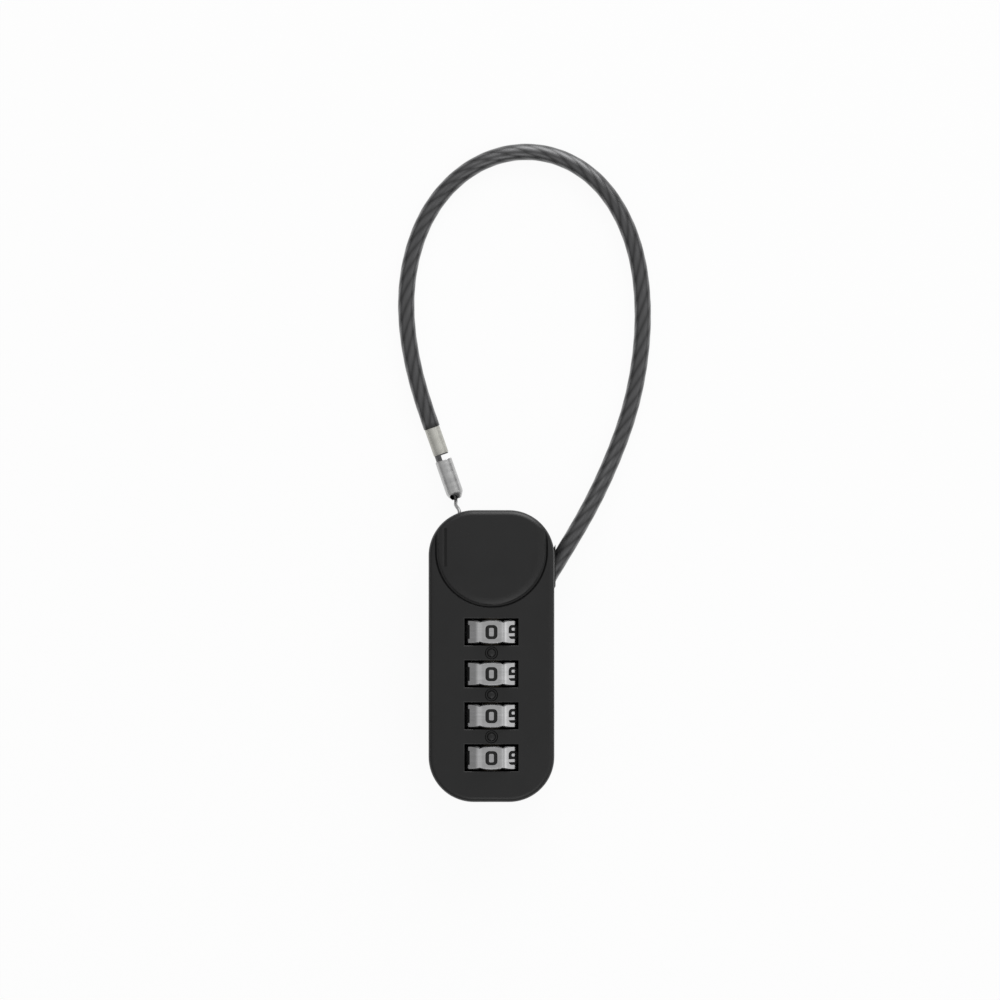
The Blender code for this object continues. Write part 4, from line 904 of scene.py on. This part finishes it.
# %% The numbers: each is a rounded plate with its openings cut away
STEM, BAR = 0.56, 0.32  # half the width between the stems, half the height of a bar
UPPER, LOWER = (BAR, 1.0), (-1.0, -BAR)
NUMBER_CORNER, OPENING_CORNER = 0.95, 0.30  # the second stays under half an opening's height
NUMBER_DEPTH = 0.12
NUMBER_OPENINGS = [
    [(-STEM, -1.0, STEM, 1.0)],
    [(-3, -3, -0.62, 1.05), (0.10, -3, 3, 3)],
    [(-3, UPPER[0], STEM, UPPER[1]), (-STEM, LOWER[0], 3, LOWER[1])],
    [(-3, UPPER[0], STEM, UPPER[1]), (-3, LOWER[0], STEM, LOWER[1])],
    [(-STEM, UPPER[0], STEM, 3), (-3, -3, STEM, LOWER[1])],
    [(-STEM, UPPER[0], 3, UPPER[1]), (-3, LOWER[0], STEM, LOWER[1])],
    [(-STEM, UPPER[0], 3, UPPER[1]), (-STEM, LOWER[0], STEM, LOWER[1])],
    [(-3, -3, STEM, UPPER[1])],
    [(-STEM, UPPER[0], STEM, UPPER[1]), (-STEM, LOWER[0], STEM, LOWER[1])],
    [(-STEM, UPPER[0], STEM, UPPER[1]), (-3, LOWER[0], STEM, LOWER[1])],
]


def rounded_plate(name, left, bottom, right, top, corner, low, high):
    bm = bmesh.new()
    add_box(bm, (left, bottom, low), (right, top, high))
    bevel(bm, upright_edges(bm), corner, 6)
    return mesh_from(bm, name)


def number_cores():
    """The ten numbers as one cutter, each on its own pad, growing to the left."""
    base = DIAL_RIM * math.cos(PAD_HALF) - NUMBER_DEPTH
    numbers = bmesh.new()
    for digit, openings in enumerate(NUMBER_OPENINGS):
        plate = rounded_plate("number", -1.44, -1.68, 1.44, 1.68, NUMBER_CORNER, base, base + 0.6)
        holes = [rounded_plate("opening", *hole, OPENING_CORNER, base - 1, base + 2) for hole in openings]
        number = carve(plate, *holes)
        number.transform(Matrix.Rotation(-2 * PAD_HALF * digit, 4, "Y"))
        numbers.from_mesh(number)
    bmesh.ops.scale(numbers, vec=(1000, 1000, 1000), verts=numbers.verts)
    mesh = mesh_from(numbers, "number_cores")
    mesh.materials.append(NUMBER_PAINT)
    return mesh


print(len(NUMBER_OPENINGS), "numbers")

# %% Four dials from one
key_bm = bmesh.new()
for turn in range(PADS):
    verts = add_box(key_bm, (4.05, 1.3, -0.7), (4.95, 3.9, 0.7))
    bmesh.ops.rotate(key_bm, verts=verts, cent=(0, 0, 0), matrix=Matrix.Rotation(2 * PAD_HALF * turn, 3, "Y"))
dial = carve(dial_blank(), mesh_from(key_bm, "key_cores"))
dial.materials.append(DIAL_METAL)
dial = carve(dial, number_cores())
print("dial", len(dial.polygons), "faces,", open_edges(dial), "open edges,", [m.name for m in dial.materials])
for n, y in enumerate(DIAL_YS, 1):
    mesh = dial.copy()
    mesh.transform(Matrix.Translation((0, y * 0.001, AXIS_Z * 0.001)))
    new_piece(f"number_dial_{n}", mesh, f"dial_{n}", "satin_dial_metal", None, f"dial_{n}", sharp=28)

# %% [markdown]
# ## Code sleeves
# Inside each dial sits a brass sleeve with two lugs that lock it to the dial and a gate that lets
# the spindle's fin through at the right number. It could be cast in one outline, but a turned
# ring with lugs joined to it and the gate cut out follows how it works, so it is made that way.

# %% Code sleeves inside the dials
def code_sleeve():
    sleeve = turned(
        "code_sleeve",
        [
            (2.5, -4.85), (3.95, -4.85), (4.05, -4.75), (4.05, 4.75), (3.95, 4.85), (3.1, 4.85),
            (3.1, -4.25), (2.5, -4.25),
        ],
        along((0, 0, 0), (0, 1, 0)), steps=96,
    )
    lugs = box("lugs", ((3.6, 1.6, -0.4), (4.65, 2.8, 0.4)), ((-4.65, 1.6, -0.4), (-3.6, 2.8, 0.4)))
    sleeve = carve(sleeve, lugs, operation="UNION")
    return carve(sleeve, box("gate", ((-0.75, -5.5, 2.3), (0.75, -4.0, 3.1))))


sleeve = code_sleeve()
print("code sleeve", len(sleeve.polygons), "faces,", open_edges(sleeve), "open edges")
for n, y in enumerate(DIAL_YS, 1):
    mesh = placed(sleeve.copy(), Matrix.Translation((0, y, AXIS_Z)))
    new_piece(f"sleeve_{n}", mesh, f"code_sleeve_{n}", "brass", AGED_BRASS, f"code_sleeve_{n}", sharp=30)

# %% [markdown]
# ## Coil springs
# Both springs stand against the bush: one lifts the spindle, the other holds the code sleeves
# down. Their coils could be drawn anew, but the solids already have them, so each piece is a
# merged copy of its solid.

# %% Springs
def coil_spring(solid):
    """A merged copy of a spring's solid, on a mesh of its own."""
    bm = bmesh.new()
    bm.from_mesh(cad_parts[solid].data)
    bmesh.ops.scale(bm, vec=(1000, 1000, 1000), verts=bm.verts)
    low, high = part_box(solid)
    spring = new_piece(f"{solid}_coil", mesh_from(bm, solid), "head", "spring_steel", SPRING_STEEL, solid)
    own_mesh(spring)
    print(spring.name, round((high.y - low.y) * 1000, 2), "mm long")


coil_spring("spindle_spring")
coil_spring("sleeve_spring")

# %% [markdown]
# ## Crimp and locking pin
# The crimp is a short aluminium tube pressed on the cable's end. The pin is turned steel: a neck,
# a notch cut from one side for the latch bolt, a thicker body and a hollow tip cut on the slant,
# where the thin wire comes out. All of it is round, so it is spun and then cut.

# %% The pin's own axes
PIN_WAY = Vector((math.sin(PIN_TILT), -math.cos(PIN_TILT), 0))
PIN_SIDE = Vector((math.cos(PIN_TILT), math.sin(PIN_TILT), 0))
CRIMP_TOP = Vector((-14.4, 54.7, 2.10)) + PIN_WAY * 0.3
PIN_TOP = CRIMP_TOP + PIN_WAY * 6.5
pin_turn = Matrix((PIN_SIDE, PIN_WAY.cross(PIN_SIDE), PIN_WAY)).transposed().to_4x4()
pin_place = Matrix.Translation(PIN_TOP) @ pin_turn
print("pin top", [round(v, 2) for v in PIN_TOP])


# %% Crimp sleeve
crimp = turned(
    "crimp",
    [
        (0, 6.48), (1.7, 6.48), (1.81, 6.43), (1.85, 6.32), (1.85, -0.12), (1.81, -0.22),
        (1.72, -0.26), (0, -0.26),
    ],
    along(CRIMP_TOP, PIN_WAY), steps=96,
)
new_piece("crimp", crimp, "head", "crimped_aluminium", WARM_METAL, "crimp_sleeve")
print("crimp", len(crimp.polygons), "faces")

# %% Locking pin
pin = turned(
    "pin",
    [
        (0, 11.4), (1.02, 11.4), (1.12, 11.38), (1.55, 10.75),
        (1.9, 10.15), (2.01, 9.9), (2.05, 9.6), (2.05, 1.66), (2.0, 1.53), (1.88, 1.5),
        (1.88, 0), (0, 0),
    ],
    Matrix.Identity(4), steps=96,
)
neck = turned(
    "neck_groove",
    [(1.7, -0.5), (1.7, 1.36), (1.82, 1.499), (3, 1.499), (3, -0.5)],
    Matrix.Identity(4), steps=96,
)
notch = box("notch", ((-0.2, -4.1, 0.22), (4.1, 4.1, 1.5)))
slant = rod("slanted_mouth", 0.92, ((-0.35, -0.3, 10.1), (-0.85, 2.5, 11.5)), steps=48)
bore = rod("bore", 0.96, ((0, 0, 8.95), (0, 0, 12.0)), steps=48)
# Painted shade: the neck groove and notch take the darker steel, and the slanted mouth and bore are painted
# black for the shade inside them.
for core, finish in ((neck, SHADED_STEEL), (notch, SHADED_STEEL), (slant, BORE_SHADE), (bore, BORE_SHADE)):
    core.materials.append(finish)
pin.materials.append(STEEL)
pin = placed(carve(pin, neck, notch, slant, bore), pin_place)
new_piece("pin", pin, "head", "steel", None, "locking_pin")
print("pin", len(pin.polygons), "faces,", open_edges(pin), "open edges,", [m.name for m in pin.materials])

# %% [markdown]
# ## Thin wire
# A thin wire rope keeps the loose pin on the lock. It leaves the pin's slanted mouth, bends up and
# enters the socket. A curve with a bevel would be quicker, but the tube that made the jacket gives
# it the twist of its seven wires too, so that one is used again.

# %% Thin wire
tip = PIN_TOP + PIN_WAY * 11.4
mouth = Vector((-7.75, 34.5, 5.9))
wire_points = [
    tip - PIN_WAY * 2.4, tip - PIN_WAY * 0.9 - PIN_SIDE * 0.15,
    tip + PIN_WAY * 0.3 - PIN_SIDE * 0.35 + Vector((0, 0, 0.5)), Vector((-8.6, 36.0, 4.1)),
    mouth, Vector((-8.0, 32.0, 6.1)), Vector((-8.3, 28.5, 6.0)), Vector((-8.3, 20.55, 6.0)),
]
wire_path = smooth_path(wire_points, 0.12)


def wire_radius(turn, distance):
    """Seven fine wires, the outer six twisted."""
    phase = 6 * turn / (2 * math.pi) - distance / 0.75
    return 0.42 - 0.02 * abs(math.cos(math.pi * phase)) ** 6


wire_tube = rolled_tube("thin_wire", wire_path, wire_radius, 24)
new_piece("thin_wire", wire_tube, "head", "steel", WIRE_STEEL, "tether_wire", sharp=60)
print("thin wire with", len(wire_path), "rings")

# %% [markdown]
# ## Grommet, reset button and rivets
# The rubber grommet seals the cable's exit, the button at the bottom end changes the code, and
# five rivets close the two halves. All are round, so each could be cut from a rod step by step,
# but one spun profile gives every shoulder at once.

# %% Grommet
grommet = turned(
    "grommet",
    [(2.6, 8), (2.6, -6.6), (2.2, -6.6), (2.2, 8)],
    CABLE_FROM_EXIT,
)
grommet = carve(grommet, box("grommet_trim", ((15.4, 0, -14), (30, 50, 26))))
new_piece("grommet", grommet, "head", "black_rubber", RUBBER, "cable_grommet")
print("grommet", len(grommet.polygons), "faces")

# %% Reset button
button = turned(
    "button",
    [
        (0, -33.4), (1.9, -33.4), (1.9, -29.35), (3.9, -29.35), (4.05, -29.5), (4.05, -31.05),
        (3.9, -31.2), (2.4, -31.2), (2.4, -34.3), (2.33, -34.43), (2.2, -34.5), (1.35, -34.5),
        (1.2, -34.44), (0.9, -34.2), (0, -34.1),
    ],
    along((0, 0, AXIS_Z), (0, 1, 0)),
)
new_piece("button", button, "reset_button", "zinc", ZINC, "reset_button")
print("button", len(button.polygons), "faces")

# %% Rivets
for n, (x, y) in enumerate(RIVETS, 1):
    rivet = turned(
        "rivet",
        [
            (0, 12.0), (0.85, 12.0), (1.0, 11.85), (1.0, 1.1), (1.42, 1.1), (1.5, 1.0), (1.5, 0.5),
            (1.42, 0.34), (1.2, 0.23), (0.9, 0.2), (0.55, 0.22), (0.45, 0.32), (0.42, 0.9), (0, 0.95),
        ],
        Matrix.Translation((x, y, 0)), steps=48,
    )
    new_piece(f"rivet_{n}", rivet, "head", "zinc", ZINC, f"cover_rivet_{n}")
print(len(RIVETS), "rivets")

# %% [markdown]
# ## Light and floor
# The photograph is a plain studio picture on white: soft light from above and from the top
# right, and darker surroundings at the left. One large lamp would light it too, but the metal
# shows what stands round it, so there are four soft lamps and a room that grows lighter upwards,
# with a slight dip right overhead. The floor shows white to the camera.

# %% World: a dim room that is brighter overhead
world = bpy.data.worlds.new("studio")
scene.world = world
world.use_nodes = True
tree = world.node_tree
tree.nodes.clear()
sky_way = node(tree, "ShaderNodeSeparateXYZ", tree.nodes.new("ShaderNodeTexCoord").outputs["Generated"])
rising = remap(tree, sky_way.outputs[2], 0.0, 0.7, 0.05, 0.60)
dip = remap(tree, sky_way.outputs[2], 0.92, 0.99, 0.0, 0.12)
overhead = calc(tree, "SUBTRACT", rising, dip)
tint = node(tree, "ShaderNodeCombineXYZ", overhead, overhead, overhead)
room = node(tree, "ShaderNodeBackground", tint.outputs[0])
node(tree, "ShaderNodeOutputWorld", room.outputs[0])
print("world", world.name)


# %% Lamps
def softbox(name, way, distance, size, brightness):
    """A square lamp that faces the lock from the direction way, as bright as it says."""
    data = bpy.data.lights.new(name, "AREA")
    data.size = size
    data.energy = brightness * math.pi * size**2
    lamp = bpy.data.objects.new(name, data)
    way = Vector(way).normalized()
    lamp.location = Vector((0, 0.02, 0.01)) + way * distance
    lamp.rotation_euler = way.to_track_quat("Z", "Y").to_euler()
    scene.collection.objects.link(lamp)


softbox("top_light", (0.15, 0.75, 1.0), 1.5, 0.8, 1.0)
softbox("far_light", (0.30, 1.0, 0.40), 1.3, 1.0, 3.8)
softbox("right_light", (1.0, -0.15, 0.55), 1.2, 0.7, 0.48)
softbox("near_light", (0.25, -0.85, 1.2), 1.5, 0.8, 1.15)
print("4 lamps")

# %% Floor: white to the camera and in reflections, but it keeps the shadow
bm = bmesh.new()
bmesh.ops.create_grid(bm, x_segments=1, y_segments=1, size=20000)
floor_mesh = mesh_from(bm, "floor")
FLOOR, tree, shader, spot = new_finish("floor", (0.80, 0.80, 0.80), 0.9)
shader.inputs["Specular IOR Level"].default_value = 0.0
light_path = tree.nodes.new("ShaderNodeLightPath").outputs
seen = calc(tree, "MAXIMUM", light_path["Is Camera Ray"], light_path["Is Glossy Ray"])
seen = calc(tree, "MAXIMUM", seen, light_path["Is Transmission Ray"])
glow = node(tree, "ShaderNodeEmission", (1, 1, 1, 1), 1.0)
share = calc(tree, "MULTIPLY", seen, 0.94)
both = node(tree, "ShaderNodeMixShader", share, shader.outputs[0], glow.outputs[0])
tree.links.new(both.outputs[0], tree.nodes["Material Output"].inputs["Surface"])
floor_mesh.materials.append(FLOOR)
floor = bpy.data.objects.new("floor", floor_mesh)
scene.collection.objects.link(floor)
print("floor", floor.dimensions[0], "m wide")
